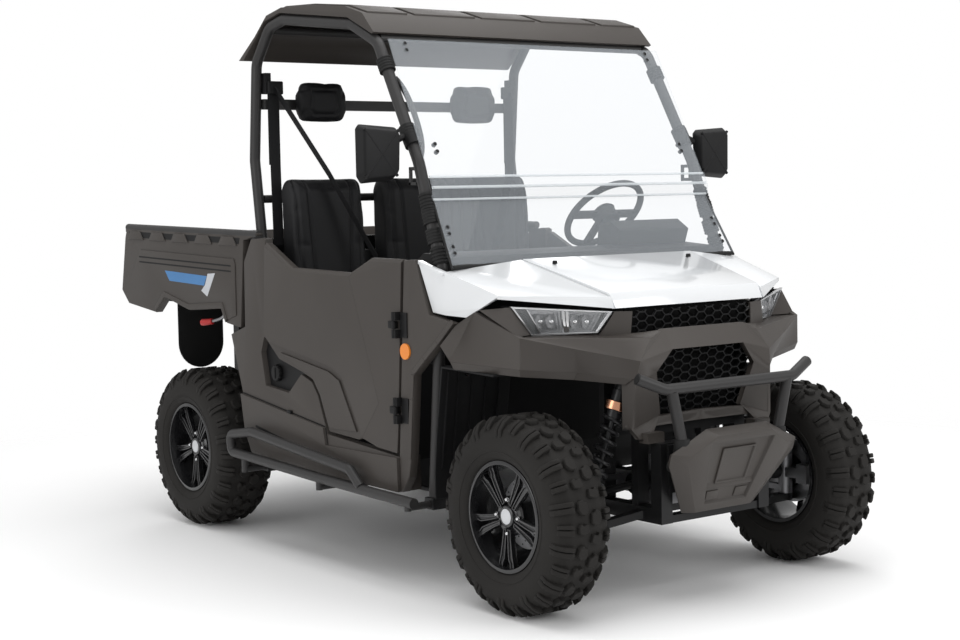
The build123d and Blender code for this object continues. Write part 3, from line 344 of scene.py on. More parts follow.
def roundEdges(bm, width, segments=2, sharp=25, edges=None):
    faceOut(bm)
    bevelSharp(bm, edges or bm.edges, width, segments, sharp)


def spinRound(bm, profile, centre, steps, side=1, closed=True):
    # profile of (sideways, radius) pairs turned about the axle
    points = [bm.verts.new(Vector(centre) + Vector((side * offset, 0, radius))) for offset, radius in profile]
    pairs = list(zip(points, points[1:])) + ([(points[-1], points[0])] if closed else [])
    lines = [bm.edges.new(pair) for pair in pairs]
    bmesh.ops.spin(bm, geom=points + lines, cent=centre, axis=(1, 0, 0), angle=2 * pi, steps=steps,
        use_merge=True)


def repeatRound(bm, geom, centre, count):
    # copies of a few faces turned about the axle
    for step in range(1, count):
        made = bmesh.ops.duplicate(bm, geom=geom)["geom"]
        bmesh.ops.rotate(bm, cent=centre, matrix=Matrix.Rotation(2 * pi * step / count, 3, "X"),
            verts=onlyVerts(made))


def allGeometry(bm):
    return bm.verts[:] + bm.edges[:] + bm.faces[:]


def onSide(side, station, height, sideways):
    # a point on the right (-1) or left (1) side
    return place(side * sideways, station, height)


def sideRow(outline, sideways, side=1):
    # an outline of stations and heights laid on a side
    return [onSide(side, station, height, sideways) for station, height in outline]


def mergePart(bm, part):
    # moves a finished part into bm and gives its geometry there
    holder = bpy.data.meshes.new("part")
    part.to_mesh(holder)
    part.free()
    first = len(bm.verts)
    bm.from_mesh(holder)
    bpy.data.meshes.remove(holder)
    bm.verts.ensure_lookup_table()
    made = bm.verts[first:]
    return made, (made + list({edge for vert in made for edge in vert.link_edges})
        + list({face for vert in made for face in vert.link_faces}))


def nodeCopy(node):
    bm = bmesh.new()
    bm.from_mesh(nodes[node].data)
    weld(bm, 2e-5)
    bmesh.ops.dissolve_limit(bm, angle_limit=radians(1.5), verts=bm.verts, edges=bm.edges)
    return bm


def softenedCopy(node, material, width):
    # the node's own form with its edges rounded
    bm = nodeCopy(node)
    bevelSharp(bm, bm.edges, width, 2, 24)
    addPiece(node + "_skin", bm, material, bodyOf[node], replaced=[node])


# tyres: carcass by spinning, one pair of pitches of lugs repeated round it
tyre = {"radius": 0.3294, "foot": 0.304, "pairs": 14, "rimRadius": 0.1775, "carcassSteps": 84,
    "lugRounding": 0.0022, "footFlare": 1.1, "beadInset": 0.0085}
tyreTable = [  # corner, side, middle x, station, tyre width, rim width
    ("front_right", -1, 639.5, 0, 0.225, 0.195), ("front_left", 1, 639.5, 0, 0.225, 0.195),
    ("rear_right", -1, 643, 2106, 0.250, 0.220), ("rear_left", 1, 643, 2106, 0.250, 0.220)]
axleHeight = 330
centreBlock = [(6, -20), (16, -30), (34, -28), (46, -12), (42, 10), (26, 20), (20, 10), (8, 8)]
sideBlock = [(6, -12), (22, -18), (44, -16), (48, 4), (36, 18), (30, 8), (12, 14)]


def addLugSection(bm, centre, way, section, low, high):
    corners = [centre + Vector((way * offset, low / 1000, radius)) for offset, radius in section]
    addPlate(bm, corners, (0, (high - low) / 1000, 0))


def addTreadBlock(bm, centre, way, outline):
    corners = [centre + Vector((way * across / 1000, along / 1000, tyre["radius"]))
        for across, along in outline]
    scaleFoot(bm, addPlate(bm, corners, (0, 0, tyre["foot"] - tyre["radius"]))[len(outline):],
        (tyre["footFlare"], tyre["footFlare"], 1))


for corner, side, middleX, station, width, rimWidth in tyreTable:
    centre = place(side * middleX, station, axleHeight)
    half, bead = width / 2, rimWidth / 2 - tyre["beadInset"]
    bm = bmesh.new()
    outer = [(half - 0.054, tyre["foot"] - 0.01), (half - 0.052, tyre["radius"]),
        (half - 0.043, tyre["radius"]), (half - 0.019, 0.3135), (half - 0.0005, 0.287),
        (half - 0.0008, 0.262), (half - 0.010, 0.254), (half - 0.03, 0.262)]
    shorter = [(half - 0.048, tyre["foot"] - 0.01), (half - 0.046, tyre["radius"] - 0.001),
        (half - 0.040, tyre["radius"] - 0.001), (half - 0.020, 0.3125), (half - 0.005, 0.293),
        (half - 0.008, 0.283), (half - 0.028, 0.285)]
    for way, lead in ((side, 0.0), (-side, 0.25)):
        for section, limits, block, turned in ((outer, ((-19, -1.6), (1.6, 17)), centreBlock, False),
                (shorter, ((-17, 0), (3.2, 16)), sideBlock, True)):
            part = bmesh.new()
            for low, high in limits:
                addLugSection(part, centre, way, section, low, high)
            addTreadBlock(part, centre, way, block)
            roundEdges(part, tyre["lugRounding"], segments=1)
            if turned:
                bmesh.ops.rotate(part, cent=centre, matrix=Matrix.Rotation(pi / tyre["pairs"], 3, "X"),
                    verts=part.verts)
            part.normal_update()
            made, geom = mergePart(bm, part)
            bmesh.ops.rotate(bm, cent=centre, matrix=Matrix.Rotation(lead * 2 * pi / tyre["pairs"], 3, "X"),
                verts=made)
            repeatRound(bm, geom, centre, tyre["pairs"])
    carcass = [(bead, tyre["rimRadius"]), (bead, 0.1855), (half - 0.017, 0.1885), (half - 0.008, 0.199),
        (half - 0.0035, 0.213), (half - 0.0012, 0.2145), (half - 0.0012, 0.2165), (half - 0.0028, 0.218),
        (half - 0.0006, 0.237), (half - 0.002, 0.262), (half - 0.010, 0.287), (half - 0.028, 0.304),
        (half - 0.055, 0.3145), (0.006, 0.3165)]
    carcass += [(-offset, radius) for offset, radius in reversed(carcass)]
    spinRound(bm, carcass, centre, tyre["carcassSteps"])
    weld(bm, 1e-6)
    faceOut(bm)
    addPiece("tread_" + corner, bm, "tyreRubber", bodyOf["tyre_" + corner], angle=38,
        replaced=["tyre_" + corner])
print("tyres made")

# wheels: barrel and hub by spinning, one twin spoke repeated five times
wheel = {"spokes": 5, "rimFace": 0.0835, "hubFace": 0.0790, "spokeDepth": 0.020, "grooveWidth": 0.0048,
    "grooveDepth": 0.006, "nutCircle": 0.056, "capRadius": 0.0255, "discRadius": 0.118}
prong = [(40, 3.5), (42, 19), (72, 22), (128, 31), (172, 43), (172, 19), (152, 17), (140, 9), (104, 5.5),
    (70, 3.5)]
for corner, side, middleX, station, width, rimWidth in tyreTable:
    centre = place(side * middleX, station, axleHeight)
    flange = rimWidth / 2
    body = bodyOf["wheel_" + corner]
    bm = bmesh.new()
    spinRound(bm, [(flange, 0.1715), (flange, 0.181), (flange - 0.0015, 0.184), (flange - 0.005, 0.184),
        (flange - 0.008, 0.176), (-flange + 0.008, 0.176), (-flange + 0.005, 0.184), (-flange, 0.183),
        (-flange, 0.171), (-flange + 0.012, 0.168), (flange - 0.040, 0.166), (flange - 0.012, 0.169),
        (flange - 0.006, 0.1705)], centre, 96, side)
    spinRound(bm, [(-0.003, 0.0215), (-0.003, 0.062), (0.052, 0.066), (0.060, 0.066), (0.066, 0.060),
        (0.067, 0.044), (0.071, 0.038), (wheel["hubFace"], 0.035), (wheel["hubFace"] + 0.002, 0.032),
        (wheel["hubFace"] + 0.002, 0.0), (0.046, 0.0), (0.046, 0.0215)], centre, 48, side)
    spoke = bmesh.new()
    for hand in (-1, 1):
        slope = (wheel["rimFace"] - wheel["hubFace"]) / 132      # from radius 40 out to radius 172
        corners = [centre + Vector((side * (wheel["hubFace"] + slope * (radius - 40)), hand * aside / 1000,
            -radius / 1000)) for radius, aside in prong]
        made = addPlate(spoke, corners, (-side * wheel["spokeDepth"], 0, 0))
    faceOut(spoke)
    faces = [face for face in spoke.faces if face.normal.x * side > 0.9]
    bmesh.ops.inset_region(spoke, faces=faces, thickness=wheel["grooveWidth"], depth=0)
    faces = [face for face in faces if face.is_valid]
    bmesh.ops.inset_region(spoke, faces=faces, thickness=0.0012, depth=-wheel["grooveDepth"])
    roundEdges(spoke, 0.0012, sharp=50)
    made, geom = mergePart(bm, spoke)
    repeatRound(bm, geom, centre, wheel["spokes"])
    weld(bm, 1e-6)
    faceOut(bm)
    addPiece("alloy_" + corner, bm, "wheelBlack", body, angle=30, replaced=["wheel_" + corner])
    # brake disc with its holes drawn as black discs of painted shade, nuts and centre cap
    bm = bmesh.new()
    spinRound(bm, [(-0.008, 0.060), (-0.003, 0.060), (-0.003, wheel["discRadius"]),
        (-0.008, wheel["discRadius"])], centre, 64, side)
    faceOut(bm)
    addPiece("brake_disc_" + corner, bm, "plainSteel", body, angle=30)
    # black discs on the disc's face instead of cut holes: painted shade where the drilled holes show dark
    bm = bmesh.new()
    for radius in (0.076, 0.091, 0.107):
        shift = Vector((0, radius * sin(radius * 90), radius * cos(radius * 90)))
        addRod(bm, centre + shift + Vector((side * -0.0032, 0, 0)), centre + shift
            + Vector((side * -0.0026, 0, 0)), 0.0032, segments=10)
    repeatRound(bm, allGeometry(bm), centre, 16)
    addPiece("disc_hole_shade_" + corner, bm, "blackPlastic", body, angle=30)
    bm = bmesh.new()
    foot = centre + Vector((side * 0.062, 0, wheel["nutCircle"]))
    addRod(bm, foot, foot + Vector((side * 0.014, 0, 0)), 0.0088, segments=6)
    addRod(bm, foot + Vector((side * 0.013, 0, 0)), foot + Vector((side * 0.020, 0, 0)), 0.0074, segments=16,
        endRadius=0.0045)
    roundEdges(bm, 0.0012, sharp=35)
    repeatRound(bm, allGeometry(bm), centre, 4)
    addPiece("wheel_nuts_" + corner, bm, "chromeBright", body, angle=30)
    bm = bmesh.new()
    base = wheel["hubFace"] + 0.002
    spinRound(bm, [(base - 0.001, 0.0), (base - 0.001, wheel["capRadius"]),
        (base + 0.0005, wheel["capRadius"]), (base + 0.0022, wheel["capRadius"] - 0.003),
        (base + 0.0028, 0.012), (base + 0.0028, 0.0)], centre, 40, side, closed=False)
    weld(bm, 1e-5)
    faceOut(bm)
    addPiece("centre_cap_" + corner, bm, "paleCap", body, angle=40)
print("wheels made")

# grilles: rows of flattened hexagonal frames, trimmed to their openings
grille = {"halfWidth": 0.0262, "halfHeight": 0.0150, "bar": 0.0022, "depth": 0.010}


def addHexField(bm, origin, up, outline):
    # outline: (x, height up the slope) corners of one grille, in order round it
    top = max(height for x, height in outline)
    rows = int(top / (2 * grille["halfHeight"])) + 2
    columns = int(max(x for x, height in outline) / (1.5 * grille["halfWidth"])) + 2
    field = bmesh.new()
    for column in range(-columns, columns + 1):
        for row in range(rows):
            middle = Vector((column * 1.5 * grille["halfWidth"], 0, (2 * row + column % 2)
                * grille["halfHeight"]))
            made = bmesh.ops.create_circle(field, segments=6, radius=1, cap_ends=True)["verts"]
            face = list(made[0].link_faces)[0]
            bmesh.ops.rotate(field, cent=(0, 0, 0), matrix=Matrix.Rotation(pi / 2, 3, "X")
                @ Matrix.Rotation(pi / 2 if abs(made[0].co.x) < 0.5 else 0, 3, "Z"), verts=made)
            bmesh.ops.scale(field, vec=(grille["halfWidth"], 1, grille["halfHeight"] / sin(pi / 3)),
                verts=made)
            bmesh.ops.translate(field, vec=middle, verts=made)
            field.normal_update()
            bmesh.ops.inset_individual(field, faces=[face], thickness=grille["bar"], depth=0)
            bmesh.ops.delete(field, geom=[face], context="FACES_ONLY")
    made = bmesh.ops.extrude_face_region(field, geom=field.faces[:])["geom"]
    bmesh.ops.translate(field, vec=(0, grille["depth"], 0), verts=onlyVerts(made))
    faceOut(field)
    for (x, height), (nextX, nextHeight) in zip(outline, outline[1:] + outline[:1]):
        outward = Vector((nextHeight - height, 0, x - nextX)).normalized()
        cut = bmesh.ops.bisect_plane(field, geom=allGeometry(field), plane_co=(x, 0, height),
            plane_no=outward, clear_outer=True, dist=1e-6)["geom_cut"]
        edges = [item for item in cut if isinstance(item, bmesh.types.BMEdge) and item.is_boundary]
        if edges:
            bmesh.ops.edgenet_fill(field, edges=edges)
    run = up.normalized()
    frameMatrix = Matrix((Vector((1, 0, 0)), run.cross(Vector((1, 0, 0))), run)).transposed().to_4x4()
    bmesh.ops.transform(field, matrix=Matrix.Translation(origin) @ frameMatrix, verts=field.verts)
    mergePart(bm, field)


bm = bmesh.new()
addHexField(bm, place(0, -134, 900), Vector((0, 0, 1)), [(-0.283, 0.0), (0.283, 0.0), (0.276, 0.082),
    (-0.276, 0.082)])
addHexField(bm, place(0, -150, 632), Vector((0, -0.182, 0.983)), [(-0.195, 0.0), (0.195, 0.0), (0.232, 0.148),
    (0.172, 0.218), (-0.172, 0.218), (-0.232, 0.148)])
faceOut(bm)
addPiece("grille_mesh", bm, "blackPlastic", angle=30, replaced=["grilles"])

# headlamps
lamp = {"bulbRadius": 0.010, "shares": (0.30, 0.70)}
lampCorners = [(351, -118, 983), (645, 50, 1007), (567, 38, 905.5), (392, -88, 912.5)]
lampBowls = [(0.08, 0.43), (0.51, 0.84)]


def lampPoint(along, down, depth=0.0):
    first, second, third, fourth = [Vector(corner) for corner in lampCorners]
    upper, lower = first.lerp(second, along), fourth.lerp(third, along)
    spot = upper.lerp(lower, down)
    return place(spot.x, spot.y + depth, spot.z)


def lampBand(bm, along, down, front, back):
    corners = [lampPoint(along[0], down[0], front), lampPoint(along[1], down[0], front),
        lampPoint(along[1], down[1], front), lampPoint(along[0], down[1], front)]
    return addPlate(bm, corners, (0, (back - front) / 1000, 0))


bm = bmesh.new()
lampBand(bm, (0.0, 1.0), (0.0, 1.0), 44, 58)
lampBand(bm, (0.86, 0.985), (0.05, 0.95), 3, 44)
bothSides(bm)
addPiece("lamp_housing", bm, "blackPlastic", replaced=["headlamps"])
bm = bmesh.new()
for limits in [((0.0, 1.0), (0.0, 0.07)), ((0.0, 1.0), (0.93, 1.0)), ((0.0, 0.035), (0.07, 0.93)),
        ((0.975, 1.0), (0.07, 0.93)), ((0.435, 0.465), (0.07, 0.93)), ((0.475, 0.505), (0.07, 0.93)),
        ((0.845, 0.86), (0.07, 0.93))]:
    lampBand(bm, *limits, 2, 16)
roundEdges(bm, 0.0012, sharp=40)
bothSides(bm)
addPiece("lamp_bezels", bm, "chromeBright", angle=40)
bm = bmesh.new()
for low, high in lampBowls:
    for step in range(3):                       # stepped bowl walls
        share = step / 3
        inLow, inHigh = low + (high - low) * 0.16 * share, high - (high - low) * 0.16 * share
        top, bottom = 0.08 + 0.15 * share, 0.92 - 0.15 * share
        for limits in [((inLow, inHigh), (top, top + 0.05)), ((inLow, inHigh), (bottom - 0.05, bottom)),
                ((inLow, inLow + 0.02), (top, bottom)), ((inHigh - 0.02, inHigh), (top, bottom))]:
            lampBand(bm, *limits, 10 + 10 * step, 22 + 10 * step)
    lampBand(bm, (low, high), (0.1, 0.9), 41, 44)
    for share in lamp["shares"]:
        spot = lampPoint(low + (high - low) * share, 0.5, 40)
        addRod(bm, spot, spot - Vector((0, 0.022, 0)), 0.021, segments=24, endRadius=0.023)
bothSides(bm)
addPiece("lamp_reflectors", bm, "lampSilver", angle=40)
bm = bmesh.new()
for low, high in lampBowls:
    for share in lamp["shares"]:
        spot = lampPoint(low + (high - low) * share, 0.5, 18)
        ball = bmesh.ops.create_uvsphere(bm, u_segments=20, v_segments=12, radius=lamp["bulbRadius"])["verts"]
        bmesh.ops.translate(bm, vec=spot, verts=ball)
bothSides(bm)
addPiece("lamp_bulbs", bm, "chromeBright", angle=60)
bm = bmesh.new()
lampBand(bm, (0.0, 1.0), (0.0, 1.0), 0, 1.6)
bothSides(bm)
addPiece("lamp_covers", bm, "lampCover")
print("grilles and lamps made")

# bumper bar: collars and end caps
bm = bmesh.new()
for hand in (-1, 1):
    addRod(bm, place(hand * 227.5, -310, 566), place(hand * 226, -310, 520), 0.0255, segments=28,
        endRadius=0.031)
roundEdges(bm, 0.003, sharp=50)
addPiece("bar_collars", bm, "softRubber")
bm = bmesh.new()
for hand in (-1, 1):
    spot, run = place(hand * -400, -285, 775), Vector((-hand * 101, 25, 41)).normalized()
    addRod(bm, spot, spot + run * 0.0025, 0.0165, segments=24, endRadius=0.015)
addPiece("bar_caps", bm, "softRubber")
print("bumper dressed")

# windscreen: seal, joint mouldings, bolts
screen = {"boltRadius": 0.0085, "boltLift": 0.006, "sealRadius": 0.008}
bm = bmesh.new()
addTube(bm, [place(-670 + 1340 * step / 24, 333 + (-3 if step % 2 else 0), 1128 + (3 if step % 2 else 0))
    for step in range(25)], screen["sealRadius"])
for hand in (-1, 1):
    addTube(bm, [place(hand * 674, 330, 1122), place(hand * 663, 400, 1242), place(hand * 652, 463, 1350)],
        0.0045, smooth=False)
addPiece("screen_seal", bm, "softRubber", angle=60)
bm = bmesh.new()
for station, height, radius in ((462, 1358, 0.0045), (462, 1400, 0.0055), (478, 1437, 0.0045)):
    addTube(bm, [place(-655, station, height), place(655, station, height)], radius, smooth=False)
addPiece("screen_joint", bm, "edgeClear", angle=60)
bm = bmesh.new()
screenBolts = [(579, 730, 1911), (580, 718, 1887), (587, 537, 1550), (587, 524, 1524), (634, 405, 1262),
    (636, 392, 1240), (640, 366, 1196), (642, 354, 1174)]
panes = {"upper": (Vector((0, 481, 1435)), Vector((0, 728, 1925))),
    "lower": (Vector((0, 333, 1126)), Vector((0, 463, 1352)))}
for x, station, height in screenBolts:
    foot, top = panes["upper" if height > 1400 else "lower"]
    slope = (top - foot).normalized()
    outward = Vector((0, -slope.z, slope.y))
    along = (height - foot.z) / (top.z - foot.z)
    onPane = foot.lerp(top, along)
    for hand in (-1, 1):
        spot = place(hand * x, onPane.y, onPane.z)
        addRod(bm, spot - outward * 0.010, spot + outward * screen["boltLift"], screen["boltRadius"],
            segments=20, endRadius=screen["boltRadius"] * 0.8)
roundEdges(bm, 0.0015, sharp=40)
addPiece("screen_bolts", bm, "blackPlastic")

# hood knobs
bm = bmesh.new()
for hand in (-1, 1):
    spot = place(hand * 319, 215, 1130)
    addRod(bm, spot, spot + Vector((0, 0, 0.012)), 0.010, segments=20, endRadius=0.008)
roundEdges(bm, 0.002, sharp=40)
addPiece("hood_knobs", bm, "softRubber", "hood")
print("windscreen dressed")

# seats: swelled by cloth simulation, then the sewn channels are pressed in
cloth = {"voxel": 0.009, "pressure": 4.0, "frames": 20, "cap": 0.016, "quality": 4}


def swelledPad(name, shape, seams, replaced):
    # shape makes the starting form; seams: facing, the two axes of the runs, runs, width and depth
    bm = bmesh.new()
    shape(bm)
    faceOut(bm)
    piece = newObject(name, bm)
    evened = piece.modifiers.new("evened", "REMESH")
    evened.mode = "VOXEL"
    evened.voxel_size = cloth["voxel"]
    bpy.context.view_layer.update()
    mesh = bpy.data.meshes.new_from_object(piece.evaluated_get(bpy.context.evaluated_depsgraph_get()))
    piece.modifiers.clear()
    piece.data = mesh
    home = [vert.co.copy() for vert in mesh.vertices]
    swell = piece.modifiers.new("swell", "CLOTH")
    swell.settings.quality = cloth["quality"]
    swell.settings.use_pressure = True
    swell.settings.uniform_pressure_force = cloth["pressure"]
    swell.settings.effector_weights.gravity = 0
    swell.point_cache.frame_start = 1
    swell.point_cache.frame_end = cloth["frames"]
    for step in range(1, cloth["frames"] + 1):
        bpy.context.scene.frame_set(step)
    swelled = bpy.data.meshes.new_from_object(piece.evaluated_get(bpy.context.evaluated_depsgraph_get()))
    piece.modifiers.clear()
    for vert, start, moved in zip(mesh.vertices, home, swelled.vertices):
        step = moved.co - start
        if step.length > cloth["cap"]:
            step *= cloth["cap"] / step.length
        vert.co = start + step
    bpy.data.meshes.remove(swelled)
    bm = bmesh.new()
    bm.from_mesh(mesh)
    bmesh.ops.smooth_vert(bm, verts=bm.verts, factor=0.5, use_axis_x=True, use_axis_y=True, use_axis_z=True)
    bmesh.ops.subdivide_edges(bm, edges=bm.edges, cuts=1, use_grid_fill=True, smooth=0.6)
    bm.normal_update()
    for vert in bm.verts:
        for facing, flat, runs, width, depth in seams:
            if vert.normal.dot(facing) < 0.45:
                continue
            spot = Vector((vert.co[flat[0]], vert.co[flat[1]]))
            nearest = width
            for first, second in runs:
                first, second = Vector(first), Vector(second)
                run = second - first
                share = max(0, min(1, (spot - first).dot(run) / run.length_squared))
                nearest = min(nearest, (spot - first - run * share).length)
            if nearest < width:
                vert.co -= facing * depth * (0.5 + 0.5 * cos(pi * nearest / width))
    bm.to_mesh(mesh)
    bm.free()
    mesh.polygons.foreach_set("use_smooth", [True] * len(mesh.polygons))
    finishPiece(piece, "seatVinyl", replaced=replaced)
    return piece


def pathRuns(points):
    return list(zip(points, points[1:]))


seatTable = [("right", -0.618, -0.240), ("left", -0.182, 0.618)]
backSeams = [[(-0.105, 1.47), (-0.083, 1.05), (-0.055, 1.005), (0.055, 1.005), (0.083, 1.05), (0.105, 1.47)],
    [(-0.150, 1.47), (-0.130, 0.82)], [(0.150, 1.47), (0.130, 0.82)]]
for name, low, high in seatTable:
    middle, half = (low + high) / 2, (high - low) / 2

    def backShape(bm):
        outline = [(1456, 812), (1462, 960), (1486, 1400), (1500, 1440), (1518, 1455), (1556, 1455),
            (1574, 1430), (1567, 1200), (1556, 812)]
        corners = [place(0, station, height) + Vector((low + 0.008, 0, 0)) for station, height in outline]
        addPlate(bm, corners, (high - low - 0.016, 0, 0))
        faceOut(bm)
        upright = [edge for edge in bm.edges if abs(edge.verts[0].co.x - edge.verts[1].co.x) < 1e-4
            and min(vert.co.z for vert in edge.verts) > 1.38]
        roundEdges(bm, 0.035, segments=4, sharp=20, edges=upright)
        roundEdges(bm, 0.012, sharp=50)

    seatMiddles = [middle] if half < 0.3 else [middle - half / 2, middle + half / 2]
    runs = []
    for seatMiddle in seatMiddles:
        for seam in backSeams:
            runs += pathRuns([(seatMiddle + across, height) for across, height in seam])
    if len(seatMiddles) > 1:
        runs += pathRuns([(middle, 1.47), (middle, 0.82)])
    swelledPad("seat_back_" + name, backShape, [(Vector((0, -1, 0)), (0, 2), runs, 0.011, 0.007)],
        ["seat_backs"])

    def cushionShape(bm):
        outline = [(1066, 742), (1058, 800), (1082, 826), (1240, 822), (1438, 806), (1438, 724), (1092, 724)]
        corners = [place(0, station, height) + Vector((low + 0.006, 0, 0)) for station, height in outline]
        addPlate(bm, corners, (high - low - 0.012, 0, 0))
        roundEdges(bm, 0.014, segments=3, sharp=50)

    frontY, backY = place(0, 1050, 0).y, place(0, 1440, 0).y
    runs = []
    for seatMiddle in seatMiddles:
        runs += pathRuns([(seatMiddle + across, y) for across, y in ((-0.115, backY), (-0.115, frontY + 0.08),
            (0.115, frontY + 0.08), (0.115, backY))])
    if len(seatMiddles) > 1:
        runs += pathRuns([(middle, backY), (middle, frontY)])
    swelledPad("seat_cushion_" + name, cushionShape, [(Vector((0, 0, 1)), (0, 1), runs, 0.011, 0.006)],
        ["seat_cushions"])

for name, side in (("right", -1), ("left", 1)):
    middle = place(side * 384, 0, 0).x

    def restShape(bm):
        outline = [(-112, 28), (-86, 76), (86, 76), (112, 28), (112, -34), (90, -78), (-90, -78), (-112, -34)]
        corners = [place(side * 384 + across, 1568, 1751 + up) for across, up in outline]
        addPlate(bm, corners, (0, 0.052, 0))
        roundEdges(bm, 0.012, segments=3, sharp=60)

    runs = pathRuns([(middle - 0.070, 1.722), (middle - 0.056, 1.795), (middle + 0.056, 1.795),
        (middle + 0.070, 1.722), (middle + 0.048, 1.700), (middle - 0.048, 1.700), (middle - 0.070, 1.722)])
    swelledPad("headrest_" + name, restShape, [(Vector((0, -1, 0)), (0, 2), runs, 0.010, 0.006)],
        ["headrests"])
print("seats made")

# belts: flat straps laid directly
belt = {"halfWidth": 0.023, "thickness": 0.0022}


def addStrap(bm, points, wide):
    # points along the strap; wide is the direction across its flat face
    wide = Vector(wide).normalized() * belt["halfWidth"]
    for first, second in zip(points, points[1:]):
        run = second - first
        addPlate(bm, [first - wide, first + wide, second + wide, second - wide], run.cross(wide).normalized()
            * belt["thickness"])


for name, side in (("right", -1), ("left", 1)):
    bm = bmesh.new()
    anchor, shoulder = onSide(side, 1606, 1800, 588), onSide(side, 1432, 1462, 456)
    lap, buckle = onSide(side, 1340, 1126, 300), onSide(side, 1372, 868, 258)
    addStrap(bm, [anchor, shoulder, lap, buckle], (0.25 * side, -0.62, 0.35))
    addStrap(bm, [onSide(side, 1612, 1795, 592), onSide(side, 1612, 1490, 592),
        onSide(side, 1606, 1180, 590)], (1, 0, 0))
    addStrap(bm, [buckle, onSide(side, 1380, 846, 400), onSide(side, 1400, 844, 590)], (0.1, -1, 0.1))
    faceOut(bm)
    addPiece("belt_straps_" + name, bm, "webbing")
    bm = bmesh.new()
    addBlock(bm, buckle + Vector((-0.020, -0.016, -0.050)), buckle + Vector((0.020, 0.016, 0.022)))
    addBlock(bm, anchor + Vector((-0.034, -0.008, -0.022)), anchor + Vector((0.034, 0.010, 0.030)))
    roundEdges(bm, 0.005, segments=3, sharp=40)
    addPiece("belt_fittings_" + name, bm, "blackPlastic")
print("belts made")

# doors: outer skin split at its creases, proud above and stepped in below
doorSkin = {"inner": 702, "outer": 737, "front": 728, "lower": 724, "pad": 731, "chamfer": 0.006,
    "topChamfer": 0.012}
hinge = {"x": 748, "station": 580, "radius": 0.0085, "heights": (925, 625)}
doorUpper = [(1470, 1197), (1277, 1105), (880, 1097), (700, 640), (812, 504), (945, 722), (1018, 749),
    (1433, 809), (1493, 832)]
doorFront = [(880, 1097), (752, 1154), (557, 1153), (594, 560), (604, 470), (725, 478), (812, 504),
    (700, 640)]
doorLower = [(1493, 832), (1433, 809), (1018, 749), (945, 722), (812, 504), (725, 478), (853, 492),
    (1049, 502), (1112, 634), (1158, 688), (1234, 711), (1401, 749), (1496, 821)]
doorPad = [(1380, 775), (1040, 727), (968, 698), (858, 520), (1040, 516), (1098, 640), (1150, 700),
    (1232, 724)]
for corner, side in (("right", -1), ("left", 1)):
    bm = bmesh.new()

    def skinPlate(outline, outer, inner):
        return addPlate(bm, sideRow(outline, outer, side), (side * (inner - outer) / 1000, 0, 0))

    skinPlate(doorUpper, doorSkin["outer"], doorSkin["inner"])
    front = []
    for station, height in doorFront:
        proud = station > 860 or (station, height) in ((812, 504), (700, 640))
        front.append(bm.verts.new(onSide(side, station, height, doorSkin["outer" if proud else "front"])))
    inner = [bm.verts.new(spot) for spot in sideRow(doorFront, doorSkin["inner"], side)]
    bm.faces.new(inner)
    hub = len(front)
    for first in range(hub):
        second = (first + 1) % hub
        bm.faces.new([front[first], front[second], inner[second], inner[first]])
    for a, b, c in ((0, 1, 2), (0, 2, 3), (0, 3, 7), (7, 3, 4), (7, 4, 5), (7, 5, 6)):
        bm.faces.new([front[a], front[b], front[c]])
    skinPlate(doorLower[:5] + doorLower[6:], doorSkin["lower"], doorSkin["inner"])
    skinPlate(doorPad, doorSkin["pad"], doorSkin["lower"] - 2)
    faceOut(bm)
    topEdges = [edge for edge in bm.edges if min(vert.co.z for vert in edge.verts) > 1.09 and edge.is_manifold
        and all(abs(vert.co.x) > 0.725 for vert in edge.verts) and edge.calc_face_angle(0) > 1.2]
    roundEdges(bm, doorSkin["topChamfer"], segments=1, sharp=60, edges=topEdges)
    roundEdges(bm, doorSkin["chamfer"] / 2, sharp=35)
    addPiece("door_skin_" + corner, bm, "darkPlastic", bodyOf["door_" + corner], angle=20,
        replaced=["door_" + corner])
    bm = bmesh.new()
    for height in hinge["heights"]:
        barrel = [onSide(side, hinge["station"], height + end, hinge["x"]) for end in (-14, 14)]
        addRod(bm, *barrel, hinge["radius"], segments=20)
        low, high = onSide(side, 584, height - 13, 726), onSide(side, 622, height + 13, 744)
        addBlock(bm, [min(pair) for pair in zip(low, high)], [max(pair) for pair in zip(low, high)])
    roundEdges(bm, 0.0015, sharp=50)
    addPiece("door_leaves_" + corner, bm, "blackPlastic", bodyOf["door_" + corner])

# rear side panels: filler recess, gap lines and the sill slot as black strips of painted shade, filler cap and
# latch
bm = bmesh.new()
fillerRecess = [(1400, 755), (1508, 830), (1534, 767), (1505, 636), (1333, 622), (1225, 712)]
addPlate(bm, sideRow(fillerRecess, 701.5), (-0.004, 0, 0))
# black strips on the gap lines and on the slot along the sill: painted shade where these openings fall dark
gapShadeStrips = [  # station and height of both ends, half height
    ((1572, 471), (1316, 432), 4.5), ((1684, 594), (1078, 517), 2.2), ((1074, 514), (1060, 452), 2.2)]
for (station, height), (nextStation, nextHeight), half in gapShadeStrips:
    outer = 726.2 if height > 500 else 737.8        # on the door's lower part, or on the sill
    run = Vector((0, nextStation - station, nextHeight - height)).normalized() * half
    outline = [(station - run.z, height + run.y), (nextStation - run.z, nextHeight + run.y),
        (nextStation + run.z, nextHeight - run.y), (station + run.z, height - run.y)]
    addPlate(bm, sideRow(outline, outer), (-0.002, 0, 0))
bothSides(bm)
addPiece("recess_floor_and_gap_shade", bm, "blackPlastic")
bm = bmesh.new()
cap = onSide(1, 1440, 690, 701)
addRod(bm, cap, cap + Vector((0.020, 0, 0)), 0.030, segments=32)
roundEdges(bm, 0.003, sharp=50)
for step in range(12):
    turn = 2 * pi * step / 12
    grip = cap + Vector((0.010, 0.030 * cos(turn), 0.030 * sin(turn)))
    addRod(bm, grip - Vector((0.008, 0, 0)), grip + Vector((0.008, 0, 0)), 0.0035, segments=8)
